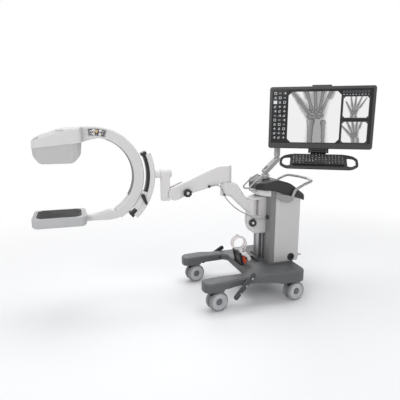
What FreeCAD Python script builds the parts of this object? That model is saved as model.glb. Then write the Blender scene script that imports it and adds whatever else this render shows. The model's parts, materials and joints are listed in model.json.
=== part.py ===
import FreeCAD, Part
import math
import os
from FreeCAD import Placement, Rotation, Vector

# Mobile mini C-arm X-ray: a wheeled base with a cabinet, a lift carriage with a jointed arm that holds the C,
# a monitor with keyboard tray on its own arm, and a stored foot switch. Millimetres, +Z up, floor at Z = 0.
# +X points from the C towards the cabinet, -Y is the operator's side with the socket and the arm's knobs.

SIZES = {
    # Casters: two wheels on one axle, trailing behind a swivel stem
    "wheel_radius": 62.5, "wheel_width": 24, "wheel_gap": 22, "axle_radius": 6, "caster_trail": 30,
    "caster_turn": 10, "front_swivel": 295, "rear_swivel": 234, "swivel_track": 480, "stem_radius": 9,
    "stem_length": 30, "swivel_radius": 27,
    # Base: two legs, a cross-member and the block under the cabinet
    "leg_width": 106, "leg_waist": 20, "leg_bottom": 152, "leg_top": 198, "block_top": 212,
    "fairing_bottom": 137,
    "leg_nose": 64, "tail": 96, "cross_front": 45, "base_round": 13, "pedestal_top": 224, "recess_depth": 8,
    # Brake pedals: a bar on a stub in each leg
    "pedal_length": 205, "pedal_width": 32, "pedal_thickness": 12, "pedal_stub_radius": 8,
    "pedal_stub_depth": 40,
    "pedal_pivot_x": 92, "pedal_pivot_z": 176,
    # Cabinet and column
    "column_front": 137, "column_depth": 50, "cabinet_rear": 335, "core_width": 264, "panel_thickness": 8,
    "shoulder_height": 708, "rear_height": 648, "channel_width": 120, "channel_depth": 15,
    "socket_radius": 22, "socket_bore": 15, "socket_depth": 12, "socket_x": 289, "socket_z": 253,
    # Lift rail and carriage
    "rail_width": 34, "rail_reach": 44, "rail_groove": 5, "carriage_width": 100, "carriage_bottom": 405,
    "carriage_top": 644, "carriage_front": 96, "slide_gap": 0.3, "lug_top": 527,
    # Cover, collar and handles
    "cover_thickness": 68, "cover_nose": 62, "cover_tail": 372, "cover_margin": 8, "collar_height": 40,
    "tube_radius": 9, "thin_tube_radius": 5, "bail_side": 46, "handle_rear": 408, "handle_bow": 34,
    "handle_height": 760,
    # Arm
    "pin_radius": 12, "pin_gap": 0.05, "shoulder_x": 56, "shoulder_radius": 38, "link_width": 70,
    "link_root_top": 632, "elbow_x": 130, "elbow_radius": 33, "elbow_top": 758, "elbow_bottom": 668,
    "joint_gap": 0.4, "forearm_width": 76, "forearm_top": 866, "wrist_x": 471, "wrist_z": 702,
    "wrist_radius": 42, "wrist_pin_radius": 9, "tongue_width": 34, "cap_radius": 38, "cap_thickness": 4,
    "knob_radius": 26, "knob_thickness": 22, "post_width": 60, "post_left": 552, "post_right": 501,
    "post_bottom": 661, "roll_z": 826, "roll_radius": 29, "roll_length": 74, "spindle_radius": 15,
    "neck_radius": 24,
    # C frame, its track and its carrier, about the centre of the C
    "c_centre_x": 948, "c_outer": 290, "c_inner": 225, "c_width": 70, "track_inner": 307,
    "track_outer": 325,
    "carrier_outer": 357, "carrier_width": 60, "track_width": 44, "carrier_top_angle": 22,
    "carrier_low_angle": 47, "shoe_top_angle": 19, "shoe_low_angle": 41,
    # X-ray source housing and detector
    "head_width": 168, "head_length": 265, "head_corner": 46, "source_reach": 58, "source_drop": 136,
    "split_fall": 26, "c_round": 12, "detector_length": 292, "detector_width": 246, "detector_height": 57,
    "plate_length": 252, "plate_width": 208, "plate_thickness": 5, "arm_thickness": 46,
    # Control panel on the C
    "panel_inner": 237, "panel_outer": 277, "control_thickness": 4, "key_radius": 7.5, "key_pitch": 19,
    "key_gap": 0.25,
    "key_travel": 1.2,
    # Monitor and its arm
    "screen_width": 630, "screen_height": 383, "monitor_depth": 44, "bezel_side": 17, "bezel_low": 34,
    "bezel_depth": 12, "monitor_x": 436, "monitor_y": -167, "monitor_z": 1160, "monitor_turn": -32,
    "turret_x": 151, "turret_radius": 24, "turret_top": 790, "turret_floor": 748, "arm_pin": 10,
    "link_foot": 815, "link_end": 15, "link_pin": 4, "link_tongue": 16, "link_width_small": 36,
    "monitor_post_x": 266, "monitor_post_y": 60, "post_foot": 885, "post_radius": 21, "upper_arm_z": 1084,
    "upper_arm_height": 52, "upper_arm_width": 26, "hub_back": 60, "hub_pin": 7, "tilt_back": 42,
    "tilt_height": 16,
    # Keyboard tray
    "tray_width": 330, "tray_depth": 186, "tray_thickness": 10, "tray_tilt": 25, "tray_drop": 20,
    "grip_reach": 68, "grip_bar": 15, "keyboard_width": 306, "keyboard_depth": 118, "keyboard_height": 12,
    "keys_across": 15, "keys_deep": 5, "keycap_height": 4,
    # Foot switch
    "sole_length": 96, "sole_width": 120, "sole_thickness": 16, "sole_lean": 12, "sole_x": -30,
    "hood_depth": 54, "pedal_pad_width": 84, "coil_radius": 46, "coil_cord_radius": 3, "coil_turns": 5,
    "coil_spread": 62, "coil_wander": 2.4, "coil_bend": 38, "plug_radius": 6,
    # Arm cable
    "cable_radius": 3.5,
}

NODES = []


def start_document():
    """A new document with the driving sizes in a spreadsheet, one alias for each."""
    document = FreeCAD.newDocument("mobile_c_arm")
    cells = document.addObject("Spreadsheet::Sheet", "Sizes")
    for row, (name, value) in enumerate(SIZES.items(), 1):
        cells.set(f"A{row}", name)
        cells.set(f"B{row}", str(value))
        cells.setAlias(f"B{row}", name)
    document.recompute()
    return document, cells


doc, sheet = start_document()


def size(name):
    """The value that the spreadsheet holds under this alias."""
    return float(getattr(sheet, name))


def node(item, label):
    """Marks a document object as a sub-part under this label."""
    item.Label = label
    NODES.append(item)
    return item


def at(x, y, z, turn=0.0, axis=Vector(0, 0, 1)):
    """A placement at a point, turned about an axis by degrees."""
    return Placement(Vector(x, y, z), Rotation(axis, turn))


# Outlines

def rounded(corners):
    """A closed outline of straight runs and tangent arcs through corners given as (x, y, radius)."""
    ends = []
    for index, (x, y, radius) in enumerate(corners):
        corner = Vector(x, y, 0)
        before = Vector(*corners[index - 1][:2], 0) - corner
        after = Vector(*corners[(index + 1) % len(corners)][:2], 0) - corner
        before.normalize()
        after.normalize()
        if radius <= 0:
            ends.append((corner, None, corner))
            continue
        half = before.getAngle(after) / 2
        reach = radius / math.tan(half)
        middle = before + after
        middle.normalize()
        inset = radius / math.sin(half) - radius
        ends.append((corner + before * reach, corner + middle * inset, corner + after * reach))
    edges = []
    for index, (begin, middle, end) in enumerate(ends):
        if middle is not None:
            edges.append(Part.Arc(begin, middle, end))
        following = ends[(index + 1) % len(ends)][0]
        if end.distanceToPoint(following) > 1e-6:
            edges.append(Part.LineSegment(end, following))
    return edges


def round_end(centre, radius, before, after):
    """Two corners that make one round end about a centre, reached from one point and left towards another."""
    into = Vector(centre[0] - before[0], centre[1] - before[1], 0)
    away = Vector(centre[0] - after[0], centre[1] - after[1], 0)
    first = math.degrees(math.atan2(into.y, into.x) - math.asin(radius / into.Length)) - 90
    last = math.degrees(math.atan2(away.y, away.x) + math.asin(radius / away.Length)) + 90
    span = (last - first) % 360
    reach = radius / math.cos(math.radians(span / 4))
    spots = [polar(centre, reach, first + span * share) for share in (0.25, 0.75)]
    return [(spot.x, spot.y, radius) for spot in spots]


def polar(centre, radius, degrees):
    """The point of a circle at an angle, in sketch coordinates."""
    angle = math.radians(degrees)
    return Vector(centre[0] + radius * math.cos(angle), centre[1] + radius * math.sin(angle), 0)


def arc(centre, radius, first, last):
    """A circular arc between two angles, in sketch coordinates."""
    middle = (first + last) / 2
    return Part.Arc(polar(centre, radius, first), polar(centre, radius, middle),
                    polar(centre, radius, last))


def sector(centre, inner, outer, first, last):
    """The closed outline of a ring's sector."""
    return [
        arc(centre, outer, first, last),
        Part.LineSegment(polar(centre, outer, last), polar(centre, inner, last)),
        arc(centre, inner, last, first),
        Part.LineSegment(polar(centre, inner, first), polar(centre, outer, first)),
    ]


def rectangle(x0, y0, x1, y1, radius=0.0):
    """The closed outline of a rectangle with equal corner radii."""
    return rounded([(x0, y0, radius), (x1, y0, radius), (x1, y1, radius), (x0, y1, radius)])


def corner_cut(centre, radius, towards):
    """The outline of what lies outside a circle in one of its four corners, given by two signs."""
    x, y = centre
    sx, sy = towards
    far = radius + 30
    start = Vector(x + sx * radius, y, 0)
    end = Vector(x, y + sy * radius, 0)
    corners = [start, Vector(x + sx * far, y, 0), Vector(x + sx * far, y + sy * far, 0),
               Vector(x, y + sy * far, 0), end]
    runs = [Part.LineSegment(first, last) for first, last in zip(corners, corners[1:])]
    middle = Vector(x + sx * radius * math.sqrt(0.5), y + sy * radius * math.sqrt(0.5), 0)
    return runs + [Part.Arc(end, middle, start)]


def circle(x, y, radius):
    """A circle in sketch coordinates."""
    return [Part.Circle(Vector(x, y, 0), Vector(0, 0, 1), radius)]


# Features of a body

def new_body(label):
    """An empty body that is a sub-part."""
    return node(doc.addObject("PartDesign::Body", label), label)


def sketch(body, role, outline, height="0"):
    """A sketch on one of the body's own origin planes, lifted off it by an expression."""
    drawing = body.newObject("Sketcher::SketchObject", body.Name + "_sketch")
    plane = next(f for f in body.Origin.OriginFeatures if f.Role == role)
    drawing.AttachmentSupport = (plane, [""])
    drawing.MapMode = "FlatFace"
    drawing.setExpression(".AttachmentOffset.Base.z", height)
    drawing.addGeometry(outline, False)
    return drawing


def pad(body, role, outline, length, height="0", centred=False):
    """Material along a plane's normal. The XZ plane's normal points to -Y."""
    feature = body.newObject("PartDesign::Pad", body.Name + "_pad")
    feature.Profile = sketch(body, role, outline, height)
    feature.SideType = "Symmetric" if centred else "One side"
    feature.setExpression("Length", length)
    doc.recompute()
    if "Invalid" in feature.State or "Error" in feature.State:
        raise ValueError(f"{feature.Name} failed")
    return feature


def pocket(body, role, outline, length=None, height="0", centred=False, reverse=False):
    """A cut along a plane's normal, or right through where no length is given."""
    before = body.Tip.Shape.Volume
    feature = body.newObject("PartDesign::Pocket", body.Name + "_pocket")
    feature.Profile = sketch(body, role, outline, height)
    if length is None:
        feature.Type = "ThroughAll"
        feature.SideType = "Symmetric"
    else:
        feature.SideType = "Symmetric" if centred else "One side"
        feature.setExpression("Length", length)
        feature.Reversed = reverse
    doc.recompute()
    if not 0 < feature.Shape.Volume < before:
        raise ValueError(f"{feature.Name} cuts nothing")
    return feature


def revolve(body, role, outline, axis):
    """A full revolution of an outline about one of the sketch's axes."""
    feature = body.newObject("PartDesign::Revolution", body.Name + "_turn")
    drawing = sketch(body, role, outline)
    feature.Profile = drawing
    feature.ReferenceAxis = (drawing, [axis])
    feature.Angle = 360
    doc.recompute()
    return feature


def loft(body, role, stations):
    """A solid through outlines that stand at distances along a plane's normal."""
    feature = body.newObject("PartDesign::AdditiveLoft", body.Name + "_loft")
    drawings = [sketch(body, role, outline, f"{height}") for outline, height in stations]
    feature.Profile = drawings[0]
    feature.Sections = drawings[1:]
    doc.recompute()
    if "Invalid" in feature.State or "Error" in feature.State:
        raise ValueError(f"{feature.Name} failed")
    return feature


def fillet(body, radius, choose):
    """Rounds the edges of the body's last feature that a test picks."""
    base = body.Tip
    names = [f"Edge{i}" for i, edge in enumerate(base.Shape.Edges, 1) if choose(edge)]
    if not names:
        raise ValueError(f"{body.Name} has no edge to round")
    feature = body.newObject("PartDesign::Fillet", body.Name + "_round")
    feature.Base = (base, names)
    feature.setExpression("Radius", radius)
    doc.recompute()
    if "Invalid" in feature.State or "Error" in feature.State:
        raise ValueError(f"{feature.Name} failed on {names}")
    return feature


def chamfer(body, width, choose):
    """Bevels the edges of the body's last feature that a test picks."""
    base = body.Tip
    names = [f"Edge{i}" for i, edge in enumerate(base.Shape.Edges, 1) if choose(edge)]
    feature = body.newObject("PartDesign::Chamfer", body.Name + "_bevel")
    feature.Base = (base, names)
    feature.setExpression("Size", width)
    doc.recompute()
    if "Invalid" in feature.State or "Error" in feature.State:
        raise ValueError(f"{feature.Name} failed on {names}")
    return feature


def middle_of(edge):
    """The point half way along an edge."""
    return edge.valueAt((edge.FirstParameter + edge.LastParameter) / 2)


def on_plane(edge, axis, value):
    """Whether an edge lies in the plane where one coordinate has this value."""
    box = edge.BoundBox
    low, high = {"x": (box.XMin, box.XMax), "y": (box.YMin, box.YMax), "z": (box.ZMin, box.ZMax)}[axis]
    return abs(low - value) < 0.01 and abs(high - value) < 0.01


# Part primitives

def cylinder(name, radius, length, place):
    """A cylinder with its radius and length bound to the spreadsheet."""
    item = doc.addObject("Part::Cylinder", name)
    item.setExpression("Radius", radius)
    item.setExpression("Height", length)
    item.Placement = place
    return item


def joined(label, *pieces):
    """One sub-part fused from several objects."""
    item = doc.addObject("Part::MultiFuse", label)
    item.Shapes = list(pieces)
    return node(item, label)


def less(name, base, tool):
    """An object with another taken away from it."""
    item = doc.addObject("Part::Cut", name)
    item.Base = base
    item.Tool = tool
    return item


ALONG_Y = Rotation(Vector(1, 0, 0), -90)


# Casters

def swivel_points():
    """The four swivel axes by corner name."""
    half = size("swivel_track") / 2
    front = -size("front_swivel")
    rear = size("rear_swivel")
    return {"front_near": (front, -half), "front_far": (front, half),
            "rear_near": (rear, -half), "rear_far": (rear, half)}


def caster_fork(corner, x, y):
    """The swivelling horn between two wheels: stem, bearing disc and a web down to the axle boss."""
    body = new_body(f"caster_fork_{corner}")
    trail = size("caster_trail")
    axle = size("wheel_radius")
    top = size("fairing_bottom") - size("joint_gap")
    disc = size("swivel_radius")
    web = rounded([(-disc + 4, top - 8, 0), (-disc + 6, top - 26, 8), (trail - 16, axle - 4, 14),
                   (trail + 2, axle - 17, 14), (trail + 17, axle - 2, 14), (disc - 2, top - 22, 6),
                   (disc - 4, top - 8, 0)])
    pad(body, "XZ_Plane", web, "Sizes.wheel_gap - 3", centred=True)
    pad(body, "XY_Plane", circle(0, 0, disc), "10",
        "Sizes.fairing_bottom - Sizes.joint_gap - 10")
    pad(body, "XY_Plane", circle(0, 0, size("stem_radius")), "Sizes.stem_length",
        "Sizes.fairing_bottom - Sizes.joint_gap")
    pocket(body, "XZ_Plane", circle(trail, axle, size("axle_radius") + size("pin_gap")))
    body.Placement = at(x, y, 0, size("caster_turn"))


def caster_wheels(corner, x, y):
    """Two dished wheels and their axle, turned as one about the axle."""
    body = new_body(f"caster_wheels_{corner}")
    inner = size("wheel_gap") / 2
    outer = inner + size("wheel_width")
    rim = size("wheel_radius")
    hub = 19
    side = [(size("axle_radius"), 0, 0), (size("axle_radius"), inner - 1, 0), (hub, inner, 0),
            (rim - 13, inner + 5, 0), (rim - 11, inner + 1, 0), (rim, inner + 2, 5), (rim, outer - 2, 7),
            (rim - 11, outer, 0), (rim - 14, outer - 6, 0), (hub + 2, outer - 4, 0),
            (hub - 3, outer + 1, 0),
            (0, outer + 1, 0)]
    mirrored = [(r, -w, c) for r, w, c in reversed(side[1:])]
    revolve(body, "XY_Plane", rounded(side + mirrored), "V_Axis")
    turn = math.radians(size("caster_turn"))
    trail = size("caster_trail")
    body.Placement = at(x + trail * math.cos(turn), y + trail * math.sin(turn), rim, size("caster_turn"))


def casters():
    """All four casters."""
    for corner, (x, y) in swivel_points().items():
        caster_fork(corner, x, y)
        caster_wheels(corner, x, y)


# Base

def base_outline():
    """The plan of the base: a U of two legs ahead of a broad block."""
    front = -size("front_swivel") - size("leg_nose")
    rear = size("rear_swivel") + size("tail")
    outer = (size("swivel_track") + size("leg_width")) / 2
    inner = outer - size("leg_width")
    waist = outer - size("leg_waist")
    cross = -size("cross_front")
    near = [(front, -outer, 42), (front + 150, -outer, 120), (front + 215, -waist, 90), (60, -waist, 120),
            (150, -outer, 120), (rear, -outer, 70)]
    far = [(x, -y, r) for x, y, r in reversed(near)]
    crotch = [(front, inner, 34), (cross - 24, inner, 20), (cross, inner - 24, 20)]
    return rounded(near + far + crotch + [(x, -y, r) for x, y, r in reversed(crotch)])


def base_shell():
    """The moulded base: legs with caster fairings, arched between them, and a pedestal for the cabinet."""
    body = new_body("base_shell")
    front = -size("front_swivel") - size("leg_nose")
    rear = size("rear_swivel") + size("tail")
    pad(body, "XY_Plane", base_outline(), "Sizes.block_top - Sizes.fairing_bottom", "Sizes.fairing_bottom")
    top = size("leg_top")
    low = size("fairing_bottom") - 20
    above = rounded([(front - 20, top - 8, 0), (front + 120, top, 200), (20, top + 2, 160),
                     (110, size("block_top"), 120), (rear - 60, size("block_top"), 150),
                     (rear + 20, size("block_top") - 8, 0), (rear + 20, top + 90, 0),
                     (front - 20, top + 90, 0)])
    pocket(body, "XZ_Plane", above)
    arch = rounded([(-size("front_swivel") + 46, low, 0),
                    (-size("front_swivel") + 62, size("leg_bottom"), 16),
                    (-40, size("leg_bottom") + 6, 200),
                    (size("rear_swivel") - 96, size("fairing_bottom") + 6, 60),
                    (size("rear_swivel") - 60, low, 0)])
    pocket(body, "XZ_Plane", arch)
    fillet(body, "Sizes.base_round", lambda e: middle_of(e).z > top - 12 and e.Length > 8
           and abs(e.BoundBox.ZLength) < 14)
    panel = size("core_width") / 2 + size("panel_thickness") + 10
    pad(body, "XY_Plane",
        rectangle(size("column_front") - 16, -panel, size("cabinet_rear") - 26, panel, 20),
        "Sizes.pedestal_top - Sizes.leg_top", "Sizes.leg_top")
    for x, y in swivel_points().values():
        pocket(body, "XY_Plane", circle(x, y, size("stem_radius") + size("pin_gap")),
               "Sizes.stem_length + 1", "Sizes.fairing_bottom", reverse=True)
    pocket(body, "XZ_Plane", circle(-size("pedal_pivot_x"), size("pedal_pivot_z"),
                                    size("pedal_stub_radius") + size("pin_gap")))
    half = size("sole_width") / 2 + 3
    pocket(body, "XY_Plane", rectangle(-size("cross_front") + 6, -half, size("column_front") - 32, half, 8),
           "60", "Sizes.leg_top - Sizes.recess_depth", reverse=True)


def brake_pedal(side, sign):
    """A foot bar slanting across the leg's shoulder, on a stub that turns in the leg."""
    waist = (size("swivel_track") + size("leg_width")) / 2 - size("leg_waist")
    pivot = Vector(-size("pedal_pivot_x"), 0, size("pedal_pivot_z"))
    bar = doc.addObject("PartDesign::Body", f"pedal_bar_{side}")
    half = size("pedal_width") / 2
    length = size("pedal_length")
    outline = rectangle(-length * 0.62, -half, length * 0.38, half, half - 1)
    pad(bar, "XY_Plane", outline, "Sizes.pedal_thickness", "-Sizes.pedal_thickness / 2")
    fillet(bar, "4", lambda e: abs(middle_of(e).z) > size("pedal_thickness") / 2 - 0.01)
    for step in (-0.5, -0.25, 0.25):
        pad(bar, "XY_Plane", circle(length * step, 0, 7), "2.5", "Sizes.pedal_thickness / 2 - 0.5")
    along = Vector(-152, sign * 54, -126)
    along.normalize()
    out = Vector(0, sign, 0)
    normal = out - along * out.dot(along)
    normal.normalize()
    across = normal.cross(along)
    middle = pivot + Vector(0, sign * (waist + 24), 0)
    bar.Placement = Placement(middle, Rotation(along * -1, across * -1, normal, "XYZ"))
    stub_start = waist - size("pedal_stub_depth")
    stub = cylinder(f"pedal_stub_{side}", "Sizes.pedal_stub_radius", "Sizes.pedal_stub_depth + 24",
                    Placement(Vector(pivot.x, sign * stub_start, pivot.z),
                              ALONG_Y if sign > 0 else Rotation(Vector(1, 0, 0), 90)))
    joined(f"brake_pedal_{side}", bar, stub)


# Cabinet

def roof_height(x):
    """The height of the cabinet's sloping top at a distance along X."""
    start = size("column_front")
    share = (x - start) / (size("cabinet_rear") - start)
    return size("shoulder_height") + share * (size("rear_height") - size("shoulder_height"))


def roof_cut(x0, x1):
    """The outline of all that lies above the sloping top, between two distances along X."""
    return rounded([(x0, roof_height(x0), 0), (x1, roof_height(x1), 0), (x1, 900, 0), (x0, 900, 0)])


def column():
    """The front extrusion: two round corners and a channel for the lift rail."""
    body = new_body("column")
    half = size("core_width") / 2 + size("panel_thickness")
    slot = size("channel_width") / 2
    front = size("column_front")
    floor = front + size("channel_depth")
    rear = front + size("column_depth")
    plan = [(rear, -half + 8, 0), (rear, half - 8, 0), (rear - 22, half - 8, 0), (rear - 22, half, 0),
            (front, half, 26), (front, slot, 2), (floor, slot, 0), (floor, -slot, 0), (front, -slot, 2),
            (front, -half, 26), (rear - 22, -half, 0), (rear - 22, -half + 8, 0)]
    pad(body, "XY_Plane", rounded(plan), "Sizes.shoulder_height - Sizes.pedestal_top", "Sizes.pedestal_top")
    pocket(body, "XZ_Plane", roof_cut(front - 60, rear + 60))


def cabinet_core():
    """The closed cabinet behind the column."""
    body = new_body("cabinet_core")
    half = size("core_width") / 2
    outline = rounded([(size("column_front") + size("column_depth"), -half, 0),
                       (size("cabinet_rear"), -half, 18),
                       (size("cabinet_rear"), half, 18),
                       (size("column_front") + size("column_depth"), half, 0)])
    pad(body, "XY_Plane", outline, "Sizes.shoulder_height - Sizes.pedestal_top", "Sizes.pedestal_top")
    pocket(body, "XZ_Plane", roof_cut(size("column_front"), size("cabinet_rear") + 60))


def side_panel(side, sign):
    """A flat side cover from the column's edge to the rear, cut along the sloping top."""
    body = new_body(f"side_panel_{side}")
    front = size("column_front") + size("column_depth") - 22 + 0.5
    rear = size("cabinet_rear") + 8
    outline = rounded([(front, size("pedestal_top"), 0), (rear, size("pedestal_top"), 14),
                       (rear, roof_height(rear), 10), (front, roof_height(front), 0)])
    offset = "Sizes.core_width / 2" if sign < 0 else "-Sizes.core_width / 2 - Sizes.panel_thickness"
    pad(body, "XZ_Plane", outline, "Sizes.panel_thickness", offset)
    outer = -sign * (size("core_width") / 2 + size("panel_thickness"))
    fillet(body, "2.5", lambda e: on_plane(e, "y", -outer) and middle_of(e).x > front + 1)
    if sign < 0:
        pocket(body, "XZ_Plane", circle(size("socket_x"), size("socket_z"), size("socket_radius")))


def side_socket():
    """The round accessory socket in the near side panel."""
    body = new_body("side_socket")
    face = "Sizes.core_width / 2"
    centre = (size("socket_x"), size("socket_z"))
    pad(body, "XZ_Plane", circle(*centre, size("socket_radius")), "Sizes.panel_thickness", face)
    pad(body, "XZ_Plane", circle(*centre, size("socket_radius") + 3), "3.5",
        face + " + Sizes.panel_thickness")
    pocket(body, "XZ_Plane", circle(*centre, size("socket_bore")), "Sizes.socket_depth - 2",
           face + " + Sizes.panel_thickness + 3.5")


def rear_cord_gland():
    """The ribbed strain relief low on the cabinet's rear."""
    body = new_body("rear_cord_gland")
    profile = [(0, 0, 0), (13, 0, 0), (13, 8, 2)]
    for rib in range(3):
        start = 9 + rib * 8
        radius = 10 - rib
        profile += [(radius, start, 0), (radius, start + 5, 1), (radius - 3, start + 5, 0),
                    (radius - 3, start + 8, 0)]
    profile += [(0, 33, 0)]
    revolve(body, "XY_Plane", rounded(profile), "V_Axis")
    body.Placement = Placement(Vector(size("cabinet_rear"), -size("core_width") / 2 + 28,
                                      size("socket_z") - 4),
                               Rotation(Vector(0, 0, 1), -90))


def lift_rail():
    """The grooved guide rail that stands in the column's channel."""
    body = new_body("lift_rail")
    back = size("column_front") + size("channel_depth")
    front = back - size("rail_reach")
    half = size("rail_width") / 2
    waist = half - size("rail_groove")
    side = [(back, half, 0), (back - 14, half, 1), (back - 18, waist, 1), (front + 14, waist, 1),
            (front + 10, half, 1), (front, half, 2)]
    pad(body, "XY_Plane", rounded(side + [(x, -y, r) for x, y, r in reversed(side)]),
        "Sizes.shoulder_height - Sizes.pedestal_top - 14", "Sizes.pedestal_top")
    fillet(body, "1", lambda e: on_plane(e, "z", size("shoulder_height") - 14) and e.Length > 20)


# Lift carriage

def carriage():
    """The block that rides the rail, with two lugs that hold the shoulder pin."""
    body = new_body("carriage")
    back = size("column_front") + size("channel_depth") - 3
    face = size("carriage_front")
    reach = size("shoulder_x") - size("shoulder_radius") - 2
    low = size("carriage_bottom")
    top = size("carriage_top")
    seat = size("link_root_top") + 2 * size("joint_gap")
    outline = rounded([(back, low, 0), (face - 36, low, 22), (reach, low + 62, 50),
                       (reach, size("lug_top"), 0),
                       (face, size("lug_top"), 0), (face, seat, 0), (reach + 6, seat, 0),
                       (reach + 8, top + 4, 8),
                       (back, top + 14, 0)])
    pad(body, "XZ_Plane", outline, "Sizes.carriage_width", centred=True)
    fillet(body, "8", lambda e: abs(abs(middle_of(e).y) - size("carriage_width") / 2) < 0.01
           and middle_of(e).z < size("lug_top") - 4 and middle_of(e).x < face)
    pocket(body, "XZ_Plane", circle(*knob_seat(), 5), "18", "Sizes.carriage_width / 2")
    pocket(body, "XY_Plane", rail_slot())
    x = size("shoulder_x")
    for sign in (-1, 1):
        nose = [(x - 42, 9, 0), (x - 34, 9, 0), (x - 24, 25, 0), (x - 2, 48, 0), (x - 2, 60, 0),
                (x - 42, 60, 0)]
        pocket(body, "XY_Plane", rounded([(px, sign * py, r) for px, py, r in nose]), None, f"{seat}",
               reverse=True)
    pad(body, "XY_Plane", circle(x, 0, size("pin_radius")), "Sizes.link_root_top - Sizes.lug_top + 20",
        "Sizes.lug_top - 10")
    pad(body, "XY_Plane", circle(x, 0, size("pin_radius") + 7), "10", "Sizes.carriage_top")


def rail_slot():
    """The plan of the slot round the rail, wider than the rail by the sliding gap."""
    gap = size("slide_gap")
    back = size("column_front") + size("channel_depth")
    front = back - size("rail_reach") - gap
    half = size("rail_width") / 2 + gap
    waist = half - size("rail_groove") + 1
    side = [(back + 10, half, 0), (back - 14.6, half, 0), (back - 18, waist, 0), (front + 14.3, waist, 0),
            (front + 10.9, half, 0), (front, half, 0)]
    return rounded(side + [(x, -y, r) for x, y, r in reversed(side)])


def knob_seat():
    """The centre of the shoulder knob in the XZ plane."""
    return (size("shoulder_x") - 16, size("lug_top") - 41)


def knob(label, x, z, face, lobes):
    """A clamping knob with a scalloped rim, a bare metal centre and a threaded stud, its axis along Y."""
    body = new_body(label)
    radius = size("knob_radius")
    pad(body, "XZ_Plane", circle(0, 0, radius), "Sizes.knob_thickness")
    fillet(body, "2", lambda e: on_plane(e, "y", -size("knob_thickness")))
    scallops = []
    for index in range(lobes):
        spot = polar((0, 0), radius + 3.5, 360 * index / lobes)
        scallops += circle(spot.x, spot.y, 7)
    pocket(body, "XZ_Plane", scallops)
    pocket(body, "XZ_Plane", circle(0, 0, 11), "4", "Sizes.knob_thickness")
    pad(body, "XZ_Plane", circle(0, 0, 9), "5.5", "Sizes.knob_thickness - 5")
    pad(body, "XZ_Plane", circle(0, 0, 12), "3", "-3 + Sizes.slide_gap")
    pad(body, "XZ_Plane", circle(0, 0, 5 - size("pin_gap")), "18", "-18")
    body.Placement = at(x, -face - 3, z)


# Arm

def rear_link():
    """The slanting link: a root knuckle round the shoulder pin, a beam, and the elbow knuckle."""
    body = new_body("rear_link")
    root = size("lug_top") + size("joint_gap")
    top = size("link_root_top")
    x = size("shoulder_x")
    elbow = -size("elbow_x")
    crown = size("elbow_top")
    beam = rounded([(x + 4, top, 0), (x - 37.5, top, 0), (x - 112, crown - 16, 40),
                    (elbow + 40, crown, 18), (elbow, crown, 0),
                    (elbow, size("elbow_bottom"), 0), (elbow + 26, size("elbow_bottom"), 22),
                    (x - 12, root, 12),
                    (x + 4, root, 0)])
    pad(body, "XZ_Plane", beam, "Sizes.link_width - 6", centred=True)
    fillet(body, "15", lambda e: abs(abs(middle_of(e).y) - size("link_width") / 2 + 3) < 0.01
           and elbow + 12 < middle_of(e).x < x - 10 and e.Length > 10)
    pad(body, "XY_Plane", circle(x, 0, size("shoulder_radius")),
        "Sizes.link_root_top - Sizes.lug_top - Sizes.joint_gap",
        "Sizes.lug_top + Sizes.joint_gap")
    pad(body, "XY_Plane", circle(elbow, 0, size("elbow_radius")), "Sizes.elbow_top - Sizes.elbow_bottom",
        "Sizes.elbow_bottom")
    pocket(body, "XY_Plane", circle(x, 0, size("pin_radius") + size("pin_gap")))
    pad(body, "XY_Plane", circle(elbow, 0, size("pin_radius")), "Sizes.forearm_top - 20 - Sizes.elbow_top",
        "Sizes.elbow_top")


def forearm():
    """The cast forearm: a round head on the elbow, a tapering beam and a forked wrist end."""
    body = new_body("forearm")
    low = size("elbow_top") + size("joint_gap")
    wrist = (-size("wrist_x"), size("wrist_z"))
    head = -size("elbow_x") + 36
    crown = size("forearm_top")
    top = (head - 148, crown - 22)
    under = (wrist[0] + 110, wrist[1] - 1)
    outline = rounded([(head, low, 0), (head, crown, 16), (head - 96, crown - 2, 60), (*top, 140),
                       *round_end(wrist, size("wrist_radius"), top, under), (*under, 90),
                       (head - 92, low - 14, 26),
                       (head - 70, low, 10)])
    pad(body, "XZ_Plane", outline, "Sizes.forearm_width", centred=True)
    side = size("forearm_width") / 2
    fillet(body, "9", lambda e: abs(abs(middle_of(e).y) - side) < 0.01 and e.Length > 12)
    for sign in (-1, 1):
        pocket(body, "XY_Plane", corner_cut((-size("elbow_x"), 0), side, (1, sign)))
    slot = size("tongue_width") / 2 + size("slide_gap")
    pocket(body, "XY_Plane", rectangle(wrist[0] - 90, -slot, wrist[0] + 52, slot))
    pad(body, "XZ_Plane", circle(*wrist, size("wrist_pin_radius")), "Sizes.forearm_width", centred=True)
    for height in ("Sizes.forearm_width / 2", "-Sizes.forearm_width / 2 - Sizes.cap_thickness"):
        pad(body, "XZ_Plane", circle(*wrist, size("cap_radius")), "Sizes.cap_thickness", height)
    pocket(body, "XY_Plane", circle(-size("elbow_x"), 0, size("pin_radius") + size("pin_gap")),
           "Sizes.forearm_top - 18 - Sizes.elbow_top", "Sizes.elbow_top", reverse=True)
    pocket(body, "XZ_Plane", circle(*forearm_knob_seat(), 5), "18", "Sizes.forearm_width / 2")


def forearm_knob_seat():
    """The centre of the forearm's clamping knob in the XZ plane."""
    return (-size("wrist_x") + 74, size("wrist_z") + 4)


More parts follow.
